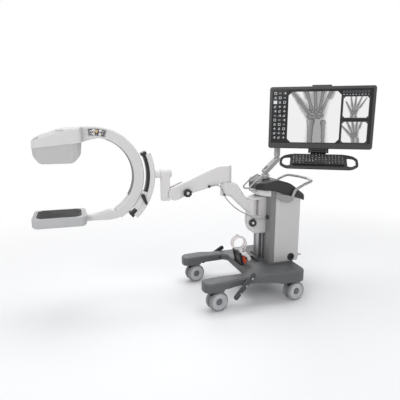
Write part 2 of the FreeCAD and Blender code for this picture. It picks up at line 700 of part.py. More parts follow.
def wrist_post():
    """The upright post: a tongue in the forearm's fork below, the roll bearing's housing above."""
    body = new_body("wrist_post")
    wrist = (-size("wrist_x"), size("wrist_z"))
    left = -size("post_left")
    right = -size("post_right")
    roll = size("roll_z")
    pad(body, "XZ_Plane", rectangle(left, size("post_bottom"), right, roll), "Sizes.post_width",
        centred=True)
    fillet(body, "7", lambda e: abs(abs(middle_of(e).y) - size("post_width") / 2) < 0.01
           and abs(e.BoundBox.ZLength) > 20)
    pocket(body, "XZ_Plane", circle(*wrist, size("wrist_radius") + 2))
    hub = size("wrist_radius") - 6
    pad(body, "XZ_Plane", circle(*wrist, hub), "Sizes.tongue_width", centred=True)
    pad(body, "XZ_Plane", rectangle(left + 12, wrist[1] - 24, wrist[0] - 20, wrist[1] + 30),
        "Sizes.tongue_width", centred=True)
    start = left - 6
    end = start + size("roll_length")
    radius = size("roll_radius")
    barrel = rounded([(start, roll, 0), (start, roll + radius, 3), (end - 8, roll + radius, 16),
                      (end, roll + 8, 12),
                      (end, roll, 0)])
    turned = body.newObject("PartDesign::Revolution", "roll_barrel")
    drawing = sketch(body, "XZ_Plane", barrel)
    drawing.addGeometry(Part.LineSegment(Vector(0, roll, 0), Vector(-100, roll, 0)), True)
    turned.Profile = drawing
    turned.ReferenceAxis = (drawing, ["Axis0"])
    turned.Angle = 360
    doc.recompute()
    pocket(body, "YZ_Plane", circle(0, roll, size("spindle_radius") + size("pin_gap")), "50",
           f"{start}", reverse=True)
    pocket(body, "XZ_Plane", circle(*wrist, size("wrist_pin_radius") + size("pin_gap")))


# C frame and its carrier

def c_centre():
    """The centre of the C in the XZ plane."""
    return (-size("c_centre_x"), size("roll_z"))


def carrier():
    """The curved carrier behind the track, with a neck and a spindle that rolls in the post's housing."""
    body = new_body("carrier")
    centre = c_centre()
    pad(body, "XZ_Plane",
        sector(centre, size("track_outer"), size("carrier_outer"), -size("carrier_low_angle"),
                                 size("carrier_top_angle")), "Sizes.carrier_width", centred=True)
    fillet(body, "10", lambda e: abs(abs(middle_of(e).y) - size("carrier_width") / 2) < 0.01
           and e.Length > 100 and middle_of(e).x > centre[0] + size("track_outer") + 10)
    roll = size("roll_z")
    post = -size("post_left") - 6
    pad(body, "YZ_Plane", circle(0, roll, size("neck_radius")),
        f"{post - size('joint_gap') - centre[0] - size('carrier_outer') + 12}",
        f"{centre[0] + size('carrier_outer') - 12}")
    pad(body, "YZ_Plane", circle(0, roll, size("spindle_radius")), "52", f"{post - size('joint_gap') - 4}")


def carrier_track():
    """The dark track on the carrier's inner side, with a stop block at each end."""
    body = new_body("carrier_track")
    centre = c_centre()
    pad(body, "XZ_Plane",
        sector(centre, size("track_inner"), size("track_outer"), -size("carrier_low_angle"),
                                 size("carrier_top_angle")), "Sizes.track_width", centred=True)
    for first, last in ((size("carrier_top_angle"), size("carrier_top_angle") + 3),
                        (-size("carrier_low_angle") - 3, -size("carrier_low_angle"))):
        pad(body, "XZ_Plane", sector(centre, size("track_inner") - 6, size("track_outer") + 9, first, last),
            "Sizes.carrier_width - 4", centred=True)


def c_shoe():
    """The shoe fixed to the C: a curved block whose flanges straddle the track."""
    body = new_body("c_shoe")
    centre = c_centre()
    first = -size("shoe_low_angle")
    last = -size("shoe_top_angle")
    pad(body, "XZ_Plane",
        sector(centre, size("c_outer"), size("track_outer") - size("slide_gap") - 1, first, last),
        "Sizes.track_width + 16", centred=True)
    gap = size("slide_gap")
    pocket(body, "XZ_Plane",
           sector(centre, size("track_inner") - gap, size("track_outer") + 2, first - 3, last + 3),
           "Sizes.track_width + 2 * Sizes.slide_gap", centred=True)
    spot = lever_seat()
    pocket(body, "XZ_Plane", circle(spot.x, spot.y, 4), "6", "Sizes.track_width / 2 + 8")


def lever_seat():
    """The lock lever's pivot in the XZ plane."""
    return polar(c_centre(), size("c_outer") + 12, -size("shoe_top_angle") - 5)


def lock_lever():
    """The cam lever that clamps the shoe to its track."""
    body = new_body("lock_lever")
    spot = lever_seat()
    face = "Sizes.track_width / 2 + 8 + Sizes.slide_gap"
    outline = rounded([(-11, 9, 8), (11, 9, 8), (30, -54, 7), (18, -60, 7), (-8, -8, 12)])
    pad(body, "XZ_Plane", outline, "10", face)
    fillet(body, "3", lambda e: on_plane(e, "y", -size("track_width") / 2 - 18 - size("slide_gap")))
    pad(body, "XZ_Plane", circle(0, 0, 4 - size("pin_gap")), "5.5",
        "Sizes.track_width / 2 + 2.8 + Sizes.slide_gap")
    body.Placement = at(spot.x, 0, spot.y)


def c_frame():
    """The C: an arc with a source arm running on above and a detector arm below."""
    cx, cz = c_centre()
    outer = size("c_outer")
    inner = size("c_inner")
    half = size("c_width") / 2
    ring = doc.addObject("PartDesign::Body", "c_arc")
    pad(ring, "XZ_Plane", sector((cx, cz), inner, outer, -60, 97), "Sizes.c_width", centred=True)
    fillet(ring, "Sizes.c_round", lambda e: abs(abs(middle_of(e).y) - half) < 0.01 and e.Length > 100)
    edge = size("c_round")
    upper = doc.addObject("PartDesign::Body", "source_arm")
    end = cx - size("source_reach")
    stations = ((end, inner - 26, outer - 2.5), (cx - 14, inner - 12, outer - 0.4),
                (cx + 44, inner - 3, outer - 4))
    loft(upper, "YZ_Plane",
         [(rectangle(-half, cz + low, half, cz + high, edge), x) for x, low, high in stations])
    lower = doc.addObject("PartDesign::Body", "detector_arm")
    left = cx - detector_reach()
    top = -detector_drop() - 6
    bottom = top - size("arm_thickness")
    stations = ((left, bottom, top), (cx + 60, bottom + 1, top + 6), (cx + 108, bottom + 5, top + 13),
                (cx + 140, bottom + 14, top + 5))
    loft(lower, "YZ_Plane",
         [(rectangle(-half, cz + low, half, cz + high, edge), x) for x, low, high in stations])
    joined("c_frame", ring, upper, lower)


def detector_reach():
    """How far the detector housing's inner end lies from the C's centre, towards -X."""
    return 55


def detector_drop():
    """How far the detector's face lies below the C's centre."""
    return size("c_inner") - 17


def source_split(x):
    """The height of the seam between the source's two shells."""
    right = -size("c_centre_x") - size("source_reach")
    return size("roll_z") + size("c_inner") - 25 + (x - right) / size("head_length") * size("split_fall")


def source_housing():
    """The upper shell round the X-ray source, rounded off at its free end."""
    body = new_body("source_housing")
    cx, cz = c_centre()
    right = cx - size("source_reach")
    left = right - size("head_length")
    outer = cz + size("c_outer")
    outline = rounded([(right, source_split(right), 0), (right, outer - 2.5, 0),
                       (right - 110, outer - 9, 260),
                       (left + 34, outer - 50, 60), (left + 2, outer - 76, 26),
                       (left, source_split(left), 0)])
    pad(body, "XZ_Plane", outline, "Sizes.head_width", centred=True)
    half = size("head_width") / 2
    corner = size("head_corner")
    fillet(body, "22", lambda e: abs(abs(middle_of(e).y) - half) < 0.01 and not on_plane(e, "x", right)
           and middle_of(e).z > source_split(middle_of(e).x) + 12)
    for sign in (-1, 1):
        pocket(body, "XY_Plane", corner_cut((left + corner, sign * (half - corner)), corner, (-1, sign)))
        pocket(body, "XY_Plane", corner_cut((right - 24, sign * (half - 24)), 24, (1, sign)))


def source_cover():
    """The lower cover of the source with the dark window plate of the beam."""
    body = new_body("source_cover")
    cx, cz = c_centre()
    right = cx - size("source_reach")
    left = right - size("head_length")
    bottom = cz + size("c_inner") - size("source_drop")
    outline = rounded([(right - 1, source_split(right - 1), 0), (left + 2, source_split(left + 2), 0),
                       (left + 7, source_split(left) - 40, 26), (left + 40, bottom, 36),
                       (right - 48, bottom, 40),
                       (right - 9, source_split(right) - 66, 40)])
    pad(body, "XZ_Plane", outline, "Sizes.head_width - 4", centred=True)
    half = size("head_width") / 2 - 2
    corner = size("head_corner") - 2
    for sign in (-1, 1):
        pocket(body, "XY_Plane",
               corner_cut((left + corner + 2, sign * (half - corner)), corner, (-1, sign)))
        pocket(body, "XY_Plane",
               corner_cut((right - corner, sign * (half - corner)), corner - 1, (1, sign)))
    pad(body, "XY_Plane", rectangle(left + 54, -half + 34, right - 56, half - 34, 18), "6", f"{bottom - 4}")


def detector_housing():
    """The shallow detector box with bevelled lower edges and a recess for its plate."""
    body = new_body("detector_housing")
    cx, cz = c_centre()
    right = cx - detector_reach()
    left = right - size("detector_length")
    top = cz - detector_drop()
    half = size("detector_width") / 2
    pad(body, "XY_Plane", rectangle(left, -half, right, half, 34), "Sizes.detector_height",
        f"{top} - Sizes.detector_height")
    fillet(body, "20", lambda e: on_plane(e, "z", top - size("detector_height")))
    fillet(body, "4", lambda e: on_plane(e, "z", top))
    px = (left + right) / 2 - 2
    pocket(body, "XY_Plane", rectangle(px - size("plate_length") / 2, -size("plate_width") / 2,
                                       px + size("plate_length") / 2, size("plate_width") / 2, 22),
           "20", f"{top} - Sizes.plate_thickness + 2", reverse=True)


def detector_plate():
    """The dark face plate that the patient's hand rests on."""
    body = new_body("detector_plate")
    cx, cz = c_centre()
    top = cz - detector_drop()
    px = cx - detector_reach() - size("detector_length") / 2 - 2
    pad(body, "XY_Plane", rectangle(px - size("plate_length") / 2 + 0.2, -size("plate_width") / 2 + 0.2,
                                    px + size("plate_length") / 2 - 0.2, size("plate_width") / 2 - 0.2, 22),
        "Sizes.plate_thickness", f"{top} - Sizes.plate_thickness + 2")
    fillet(body, "1.5", lambda e: on_plane(e, "z", top + 2))


def key_places():
    """The keys' centres on the control panel, in two rows."""
    middle = (size("panel_inner") + size("panel_outer")) / 2
    row = size("key_pitch") / 2
    spots = [polar(c_centre(), middle + side * row, angle) for side in (1, -1) for angle in (80, 88)]
    return [(spot.x, spot.y) for spot in spots]


def control_panel():
    """The curved keypad frame on the near face of the C, with one well for each key."""
    body = new_body("control_panel")
    outline = sector(c_centre(), size("panel_inner"), size("panel_outer"), 73, 95)
    pad(body, "XZ_Plane", outline, "Sizes.control_thickness", "Sizes.c_width / 2")
    wells = []
    for x, z in key_places():
        wells += circle(x, z, size("key_radius") + size("key_gap"))
    pocket(body, "XZ_Plane", wells, "Sizes.control_thickness + 2",
           "Sizes.c_width / 2 + Sizes.control_thickness + 1")
    chamfer(body, "0.8",
            lambda e: on_plane(e, "y", -size("c_width") / 2 - size("control_thickness")) and e.Length > 60)


def control_keys():
    """The four keys, each in its own well."""
    front = -size("c_width") / 2 - size("key_travel") - 0.3 - size("control_thickness")
    for index, (x, z) in enumerate(key_places(), 1):
        body = new_body(f"control_key_{index}")
        pad(body, "XZ_Plane", circle(0, 0, size("key_radius")), "Sizes.control_thickness",
            "Sizes.c_width / 2 + Sizes.key_travel + 0.3")
        fillet(body, "0.8", lambda e: on_plane(e, "y", front))
        body.Placement = at(x, 0, z)


# Cover and handles

def top_cover():
    """The black hood over the cabinet: a crowned side profile on a plan with a bowed nose."""
    body = new_body("top_cover")
    half = size("core_width") / 2 + size("panel_thickness") + size("cover_margin")
    nose = size("cover_nose")
    tail = size("cover_tail")
    front = size("column_front")
    rise = size("cover_thickness")
    side = rounded([(nose, roof_height(front) - 2, 0), (nose, roof_height(front) + rise * 0.55, 30),
                    (nose + 96, roof_height(front) + rise, 110),
                    (nose + 205, roof_height(front) + rise * 0.62, 150),
                    (tail, roof_height(tail) + 34, 28), (tail, roof_height(tail) - 6, 0),
                    (tail - 14, roof_height(tail - 14), 0), (front, roof_height(front), 0)])
    pad(body, "XZ_Plane", side, f"{2 * half}", centred=True)
    fillet(body, "20", lambda e: abs(abs(middle_of(e).y) - half) < 0.01
           and middle_of(e).z > roof_height(middle_of(e).x) + 8 and e.Length > 14)
    nose_corner = rounded([(nose - 10, -half - 20, 0), (front + 6, -half - 20, 0), (front + 6, -half, 0),
                           (nose + 26, -half + 26, 60), (nose, -half / 3, 0), (nose - 10, -half / 3, 0)])
    pocket(body, "XY_Plane", nose_corner)
    pocket(body, "XY_Plane", [mirrored_edge(edge) for edge in nose_corner])
    pocket(body, "XY_Plane", circle(size("turret_x"), 0, size("turret_radius") + size("pin_gap")), None,
           "Sizes.turret_floor", reverse=True)


def mirrored_edge(edge):
    """The same straight run or arc on the other side of the X axis."""
    flip = FreeCAD.Matrix()
    flip.scale(1, -1, 1)
    points = [flip.multVec(p) for p in edge.discretize(3)]
    if isinstance(edge, Part.LineSegment):
        return Part.LineSegment(points[0], points[-1])
    return Part.Arc(*points)


def collar():
    """The light collar between the column's head and the cover."""
    body = new_body("collar")
    half = size("core_width") / 2 + size("panel_thickness") - 2
    front = size("column_front")
    top = size("shoulder_height") - 2.3
    outline = rounded([(front, -half + 12, 0), (front, half - 12, 0), (front - 22, half - 34, 26),
                       (front - 58, half - 74, 60), (front - 58, -half + 74, 60),
                       (front - 22, -half + 34, 26)])
    pad(body, "XY_Plane", outline, "Sizes.collar_height", f"{top} - Sizes.collar_height")
    fillet(body, "4",
           lambda e: on_plane(e, "z", top - size("collar_height")) and middle_of(e).x < front - 1)
    slot = rectangle(front - 45, -60, front + 5, 60, 3)
    pocket(body, "XY_Plane", slot, "Sizes.collar_height - 8", f"{top - 8}")


def handle_wire(points, bend):
    """A path of straight runs and arcs through points, as a wire."""
    edges = []
    previous = points[0]
    for index in range(1, len(points) - 1):
        corner = points[index]
        back = (points[index - 1] - corner)
        ahead = (points[index + 1] - corner)
        reach_limit = 0.45 * min(back.Length, ahead.Length)
        back.normalize()
        ahead.normalize()
        half = back.getAngle(ahead) / 2
        reach = min(bend / math.tan(half), reach_limit)
        radius = reach * math.tan(half)
        middle = back + ahead
        middle.normalize()
        start = corner + back * reach
        end = corner + ahead * reach
        edges.append(Part.LineSegment(previous, start).toShape())
        edges.append(Part.Arc(start, corner + middle * (radius / math.sin(half) - radius), end).toShape())
        previous = end
    edges.append(Part.LineSegment(previous, points[-1]).toShape())
    return Part.Wire(edges)


def tube(label, points, radius, bend):
    """A round bar bent along a path, as a sub-part."""
    path = handle_wire(points, bend)
    start = points[0]
    direction = points[1] - points[0]
    ring = Part.Wire([Part.makeCircle(radius, start, direction)])
    item = doc.addObject("Part::Feature", label)
    item.Shape = path.makePipeShell([ring], True, True)
    arcs = [edge.Curve.Radius for edge in path.Edges if isinstance(edge.Curve, Part.Circle)]
    share = item.Shape.Volume / (math.pi * radius ** 2 * path.Length)
    print(f"{label}: {path.Length:.0f} mm, tightest bend {min(arcs):.1f} mm, volume share {share:.3f}")
    return item


def handle_side():
    """How far the push handle's sides stand from the middle, clear of the cover."""
    return size("core_width") / 2 + size("panel_thickness") + size("cover_margin") + size("tube_radius") + 2


def handles():
    """The push handle behind the cabinet and the thin bail ahead of the cover."""
    side = handle_side()
    rear = size("handle_rear")
    high = size("handle_height")
    half = [Vector(264, -side, 648), Vector(290, -side, 708), Vector(352, -side, high - 20),
            Vector(rear, -side, high), Vector(rear + size("handle_bow"), -side * 0.35, high)]
    push = tube("push_handle", both_sides(half), size("tube_radius"), 26)
    crown = roof_height(size("column_front")) + size("cover_thickness")
    front = size("cover_nose")
    side = size("bail_side")
    low = size("shoulder_height") - 10
    half = [Vector(front + 24, -side, low), Vector(front - 34, -side, low),
            Vector(front - 48, -side, low + 14),
            Vector(front - 2, -side, crown - 20), Vector(front + 52, -side, crown + 14)]
    bail = tube("front_bail", both_sides(half), size("thin_tube_radius"), 14)
    item = doc.addObject("Part::Compound", "handles")
    item.Links = [push, bail]
    node(item, "handles")


def both_sides(half):
    """A path through the given points and back through their mirror images across the XZ plane."""
    return half + [Vector(p.x, -p.y, p.z) for p in reversed(half)]


def handle_mounts():
    """The moulded sockets that hold the push handle's ends on both side panels."""
    face = size("core_width") / 2 + size("panel_thickness")
    depth = handle_side() + size("tube_radius") + 4 - face
    pieces = []
    for sign in (-1, 1):
        block = doc.addObject("PartDesign::Body", f"mount_block_{'near' if sign < 0 else 'far'}")
        outline = rounded([(150, 672, 10), (162, 690, 10), (240, 676, 16), (276, 664, 12), (272, 640, 12),
                           (238, 628, 14), (196, 640, 14)])
        offset = f"{face}" if sign < 0 else f"{-face - depth}"
        pad(block, "XZ_Plane", outline, f"{depth}", offset)
        outer = sign * (face + depth)
        fillet(block, "6", lambda e: on_plane(e, "y", outer))
        hole = tube_copy(sign)
        pieces.append(less(f"mount_cut_{'near' if sign < 0 else 'far'}", block, hole))
    item = doc.addObject("Part::Compound", "handle_mounts")
    item.Links = pieces
    node(item, "handle_mounts")


def tube_copy(sign):
    """The space that the push handle's end takes in its mount."""
    side = handle_side()
    item = doc.addObject("Part::Feature", f"handle_space_{'near' if sign < 0 else 'far'}")
    start = Vector(264, sign * side, 648)
    along = Vector(26, 0, 60)
    item.Shape = Part.makeCylinder(size("tube_radius") + 0.02, 200, start, along)
    return item


# Monitor and its arm

def monitor_arm_base():
    """The turret sunk in the cover, with a short pin on top."""
    body = new_body("monitor_arm_base")
    pad(body, "XY_Plane", circle(0, 0, size("turret_radius")), "Sizes.turret_top - Sizes.turret_floor",
        "Sizes.turret_floor")
    pad(body, "XY_Plane", circle(0, 0, size("turret_radius") + 9), "5", "Sizes.turret_top - 6")
    pad(body, "XY_Plane", circle(0, 0, size("arm_pin")), "7", "Sizes.turret_top")
    body.Placement = at(size("turret_x"), 0, 0)


def link_turn():
    """The lower link's direction in plan, in degrees, and its length in plan."""
    across = Vector(size("monitor_post_x") - size("turret_x"), size("monitor_post_y"), 0)
    return math.degrees(math.atan2(across.y, across.x)), across.Length


def monitor_yaw_knuckle():
    """The disc that turns on the turret, with the tongue for the lower link."""
    body = new_body("monitor_yaw_knuckle")
    low = size("turret_top") + size("joint_gap")
    pivot = size("link_foot")
    pad(body, "XY_Plane", circle(0, 0, size("turret_radius")), "8", f"{low}")
    tongue = rounded([(-size("link_end") + 1, low + 6, 0), (size("link_end") - 1, low + 6, 0),
                      *round_end((0, pivot), size("link_end") - 1, (size("link_end") - 1, low + 6.01),
                                 (-size("link_end") + 1, low + 6.01))])
    pad(body, "XZ_Plane", tongue, "Sizes.link_tongue", centred=True)
    pocket(body, "XY_Plane", circle(0, 0, size("arm_pin") + size("pin_gap")), "7.6", f"{low}", reverse=True)
    pocket(body, "XZ_Plane", circle(0, pivot, size("link_pin") + size("pin_gap")))
    body.Placement = at(size("turret_x"), 0, 0, link_turn()[0])


def monitor_lower_link():
    """The slanting link, forked at both ends, with a pin across each fork."""
    body = new_body("monitor_lower_link")
    length = link_turn()[1]
    foot = (0, size("link_foot"))
    head = (length, size("post_foot"))
    end = size("link_end")
    outline = rounded([*round_end(foot, end, head, head), *round_end(head, end, foot, foot)])
    pad(body, "XZ_Plane", outline, "Sizes.link_width_small", centred=True)
    half = size("link_width_small") / 2
    fillet(body, "4", lambda e: abs(abs(middle_of(e).y) - half) < 0.01)
    slot = size("link_tongue") / 2 + size("slide_gap")
    for x in (-30, length - size("link_end") - 9):
        pocket(body, "XY_Plane", rectangle(x, -slot, x + size("link_end") + 39, slot))
    for x, z in (foot, head):
        pad(body, "XZ_Plane", circle(x, z, size("link_pin")), "Sizes.link_width_small + 3", centred=True)
    body.Placement = at(size("turret_x"), 0, 0, link_turn()[0])


def monitor_post():
    """The level post on the link's upper pin, with a journal for the upper arm."""
    body = new_body("monitor_post")
    pivot = size("post_foot")
    end = size("link_end") - 1
    shoulder = pivot + size("link_end") + 5
    tongue = rounded([(end, shoulder + 1, 0), (-end, shoulder + 1, 0),
                      *round_end((0, pivot), end, (-end, shoulder + 0.99), (end, shoulder + 0.99))])
    pad(body, "XZ_Plane", tongue, "Sizes.link_tongue", centred=True)
    pad(body, "XY_Plane", circle(0, 0, size("post_radius")),
        f"Sizes.upper_arm_z - Sizes.joint_gap - {shoulder}",
        f"{shoulder}")
    pad(body, "XY_Plane", circle(0, 0, size("arm_pin")), "Sizes.upper_arm_height - 8",
        "Sizes.upper_arm_z - Sizes.joint_gap - 2")
    pocket(body, "XZ_Plane", circle(0, pivot, size("link_pin") + size("pin_gap")))
    body.Placement = at(size("monitor_post_x"), size("monitor_post_y"), 0, link_turn()[0])


def hub_place():
    """The plan position of the hub behind the monitor."""
    turn = math.radians(size("monitor_turn"))
    back = size("hub_back")
    return size("monitor_x") - back * math.sin(turn), size("monitor_y") + back * math.cos(turn)


def monitor_upper_arm():
    """The level upper arm from the post to the hub, bored at both ends."""
    body = new_body("monitor_upper_arm")
    x, y = hub_place()
    across = Vector(x - size("monitor_post_x"), y - size("monitor_post_y"), 0)
    length = across.Length
    wide = size("post_radius")
    slim = size("upper_arm_width") / 2 + 3
    outline = rounded([*round_end((0, 0), wide, (30, slim), (30, -slim)), (50, -slim + 1, 60),
                       (length - 40, -slim + 1, 60),
                       *round_end((length, 0), slim - 1.4, (length - 40, -slim + 1),
                                                               (length - 40, slim - 1)),
                       (length - 40, slim - 1, 60), (50, slim - 1, 60)])
    pad(body, "XY_Plane", outline, "Sizes.upper_arm_height", "Sizes.upper_arm_z")
    top = size("upper_arm_z") + size("upper_arm_height")
    fillet(body, "5", lambda e: on_plane(e, "z", top) or on_plane(e, "z", size("upper_arm_z")))
    pocket(body, "XY_Plane", circle(0, 0, size("arm_pin") + size("pin_gap")), "Sizes.upper_arm_height - 8",
           "Sizes.upper_arm_z", reverse=True)
    pocket(body, "XY_Plane", circle(length, 0, size("hub_pin") + size("pin_gap")))
    body.Placement = at(size("monitor_post_x"), size("monitor_post_y"), 0,
                        math.degrees(math.atan2(across.y, across.x)))


def monitor_place():
    """The placement that turns a forward-facing monitor part to its stand."""
    return at(size("monitor_x"), size("monitor_y"), size("monitor_z"), size("monitor_turn"))


def shell_back():
    """How far the monitor's rear face lies behind its middle plane."""
    return size("monitor_depth") / 2


def monitor_hub():
    """The bracket that hugs the upper arm's end and carries the tilt pin behind the monitor."""
    body = new_body("monitor_hub")
    back = size("hub_back")
    low = size("upper_arm_z") - size("monitor_z")
    high = low + size("upper_arm_height")
    gap = size("joint_gap")
    web = size("tilt_back") - 5
    side = rounded([(-web, low - gap - 9, 0), (-back - 10, low - gap - 9, 8), (-back - 10, low - gap, 0),
                    (-web - 8, low - gap, 0), (-web - 8, high + gap, 0), (-back - 10, high + gap, 0),
                    (-back - 10, high + gap + 9, 8), (-web - 9, high + gap + 9, 6),
                    (-web - 9, size("tilt_height") + 8, 7),
                    (-web, size("tilt_height") + 8, 7)])
    pad(body, "YZ_Plane", [flipped(edge) for edge in side], "34", centred=True)
    pad(body, "YZ_Plane", circle(size("tilt_back"), size("tilt_height"), 10), "46", centred=True)
    pad(body, "XY_Plane", circle(0, back, size("hub_pin")), f"{high - low + 2 * gap + 4}",
        f"{low - gap - 2}")
    pocket(body, "YZ_Plane",
           circle(size("tilt_back"), size("tilt_height"), size("link_pin") + size("pin_gap")))
    body.Placement = monitor_place()


def flipped(edge):
    """The same straight run or arc with its first coordinate negated."""
    points = [Vector(-p.x, p.y, 0) for p in edge.discretize(3)]
    if isinstance(edge, Part.LineSegment):
        return Part.LineSegment(points[0], points[-1])
    return Part.Arc(*points)


def monitor_back():
    """The monitor's rear shell with two tilt ears and the bracket of the keyboard tray."""
    body = new_body("monitor_back")
    half = size("screen_width") / 2
    tall = size("screen_height") / 2
    front = -shell_back() + size("bezel_depth")
    pad(body, "XZ_Plane", rectangle(-half, -tall, half, tall, 16),
        "Sizes.monitor_depth - Sizes.bezel_depth",
        "-Sizes.monitor_depth / 2")
    fillet(body, "12", lambda e: on_plane(e, "y", shell_back()))
    height = size("tilt_height")
    for x in (-34, 34):
        low = (shell_back() - 6, height - 26)
        high = (shell_back() - 6, height + 26)
        ear = rounded([(*high, 0), (*low, 0), *round_end((size("tilt_back"), height), 10, low, high)])
        pad(body, "YZ_Plane", ear, "20", f"{x - 10}")
    pad(body, "YZ_Plane", circle(size("tilt_back"), height, size("link_pin")), "88", centred=True)
    pad(body, "XY_Plane", rectangle(-62, front + 2, 62, shell_back() - 10, 4), "16", f"{-tall - 12}")
    for x in (-56, 56):
        pad(body, "YZ_Plane", circle(tray_hinge()[0], tray_hinge()[1], 8), "12", f"{x - 6}")
        pad(body, "YZ_Plane",
            rectangle(tray_hinge()[0] - 4, tray_hinge()[1], tray_hinge()[0] + 8, -tall - 4), "12",
            f"{x - 6}")
    pad(body, "YZ_Plane", circle(tray_hinge()[0], tray_hinge()[1], size("link_pin")), "112", centred=True)
    body.Placement = monitor_place()


def monitor_bezel():
    """The front frame round the screen, with the status bar on its upper edge."""
    body = new_body("monitor_bezel")
    half = size("screen_width") / 2
    tall = size("screen_height") / 2
    face = shell_back()
    pad(body, "XZ_Plane", rectangle(-half, -tall, half, tall, 16), "Sizes.bezel_depth",
        "Sizes.monitor_depth / 2 - Sizes.bezel_depth")
    fillet(body, "4", lambda e: on_plane(e, "y", -face))
    pocket(body, "XZ_Plane", rectangle(-half + size("bezel_side"), -tall + size("bezel_low"),
                                       half - size("bezel_side"), tall - size("bezel_side"), 3))
    pad(body, "XZ_Plane", rectangle(-58, tall - 6, 58, tall + 8, 3), "Sizes.bezel_depth - 2",
        "Sizes.monitor_depth / 2 - Sizes.bezel_depth")
    body.Placement = monitor_place()


def monitor_screen():
    """The glass seated in the frame against the rear shell."""
    body = new_body("monitor_screen")
    half = size("screen_width") / 2 - size("bezel_side") - 0.05
    tall = size("screen_height") / 2
    pad(body, "XZ_Plane",
        rectangle(-half, -tall + size("bezel_low") + 0.05, half, tall - size("bezel_side") - 0.05, 3),
        "Sizes.bezel_depth - 3", "Sizes.monitor_depth / 2 - Sizes.bezel_depth")
    body.Placement = monitor_place()


def tray_hinge():
    """The tray's hinge axis, back and up from the monitor's middle."""
    return (-2, -size("screen_height") / 2 - size("tray_drop"))


def tray_place():
    """The placement of the tray: hinged under the monitor and sloping down to the front."""
    y, z = tray_hinge()
    local = Placement(Vector(0, y, z), Rotation(Vector(1, 0, 0), size("tray_tilt")))
    return monitor_place().multiply(local)


def keyboard_tray():
    """The tray plate with a cut-out grip at each side and the hinge barrel at its rear edge."""
    body = new_body("keyboard_tray")
    half = size("tray_width") / 2
    grip = half + size("grip_reach")
    depth = size("tray_depth")
    top = -8
    outline = rounded([(-half, -16, 20), (-grip + 24, -34, 40), (-grip, -70, 40), (-grip, -depth + 40, 40),
                       (-grip + 40, -depth, 50), (grip - 40, -depth, 50), (grip, -depth + 40, 40),
                       (grip, -70, 40),
                       (grip - 24, -34, 40), (half, -16, 20)])
    pad(body, "XY_Plane", outline, "Sizes.tray_thickness", f"{top} - Sizes.tray_thickness")
    fillet(body, "3", lambda e: on_plane(e, "z", top) or on_plane(e, "z", top - size("tray_thickness")))
    for sign in (-1, 1):
        hole = rounded([(sign * (half + 4), -50, 10), (sign * (grip - size("grip_bar") - 12), -56, 16),
                        (sign * (grip - size("grip_bar")), -80, 20),
                        (sign * (grip - size("grip_bar")), -depth + 50, 20),
                        (sign * (grip - size("grip_bar") - 24), -depth + 26, 20),
                        (sign * (half + 4), -depth + 30, 10)])
        pocket(body, "XY_Plane", hole)
    pad(body, "YZ_Plane", circle(0, 0, 8), "96", centred=True)
    pad(body, "XY_Plane", rectangle(-48, -26, 48, -1), "10", "-16")
    pocket(body, "YZ_Plane", circle(0, 0, size("link_pin") + size("pin_gap")))
    body.Placement = tray_place()


def keyboard():
    """The keyboard on the tray: a low case with rows of keys."""
    body = new_body("keyboard")
    half = size("keyboard_width") / 2
    rear = -34
    front = rear - size("keyboard_depth")
    pad(body, "XY_Plane", rectangle(-half, front, half, rear, 6), "Sizes.keyboard_height", "-8")
    top = size("keyboard_height") - 8
    fillet(body, "2", lambda e: on_plane(e, "z", top))
    caps = []
    across = int(size("keys_across"))
    deep = int(size("keys_deep"))
    pitch_x = (2 * half - 16) / across
    pitch_y = (size("keyboard_depth") - 14) / deep
    for row in range(deep):
        for column_index in range(across):
            if row == 0 and 4 <= column_index <= 9:
                continue
            x = -half + 8 + pitch_x * (column_index + 0.5)
            y = front + 7 + pitch_y * (row + 0.5)
            caps += rectangle(x - pitch_x / 2 + 1, y - pitch_y / 2 + 1, x + pitch_x / 2 - 1,
                              y + pitch_y / 2 - 1)
    bar = -half + 8 + pitch_x * 4
    caps += rectangle(bar + 1, front + 8, bar + pitch_x * 6 - 1, front + 6 + pitch_y)
    pad(body, "XY_Plane", caps, "Sizes.keycap_height", f"{top - 0.5}")
    body.Placement = tray_place()


# Foot switch

def switch_place():
    """The placement of the stored foot switch: on its end, leaning towards -X."""
    return Placement(Vector(size("sole_x"), 0, size("leg_top") - size("recess_depth")),
                     Rotation(Vector(0, 1, 0), -size("sole_lean")))


def switch_side(body, outline, width):
    """A pad across the foot switch from an outline of (out from the sole, along the sole)."""
    return pad(body, "XZ_Plane", outline, width, centred=True)


def foot_switch_base():
    """The sole plate with two rims and the block that holds the pedal's hinge."""
    body = new_body("foot_switch_base")
    lean = math.tan(math.radians(size("sole_lean")))
    thick = size("sole_thickness")
    long = size("sole_length")
    switch_side(body, rounded([(0, 0, 0), (thick, -thick * lean, 0), (thick, long, 4), (0, long, 6)]),
                "Sizes.sole_width")
    pocket(body, "XZ_Plane", rounded([(-1, 12, 0), (5, 12, 2), (5, long - 10, 2), (-1, long - 10, 0)]),
           "Sizes.sole_width - 24", centred=True)
    switch_side(body,
                rounded([(thick - 1, long - 34, 0), (thick + 18.5, long - 34, 6),
                         (thick + 18.5, long - 13.5, 6),
                               (thick - 1, long - 13.5, 0)]), "Sizes.sole_width - 34")
    pocket(body, "XZ_Plane", circle(thick + 11, long - 23, 4 + size("pin_gap")))
    body.Placement = switch_place()


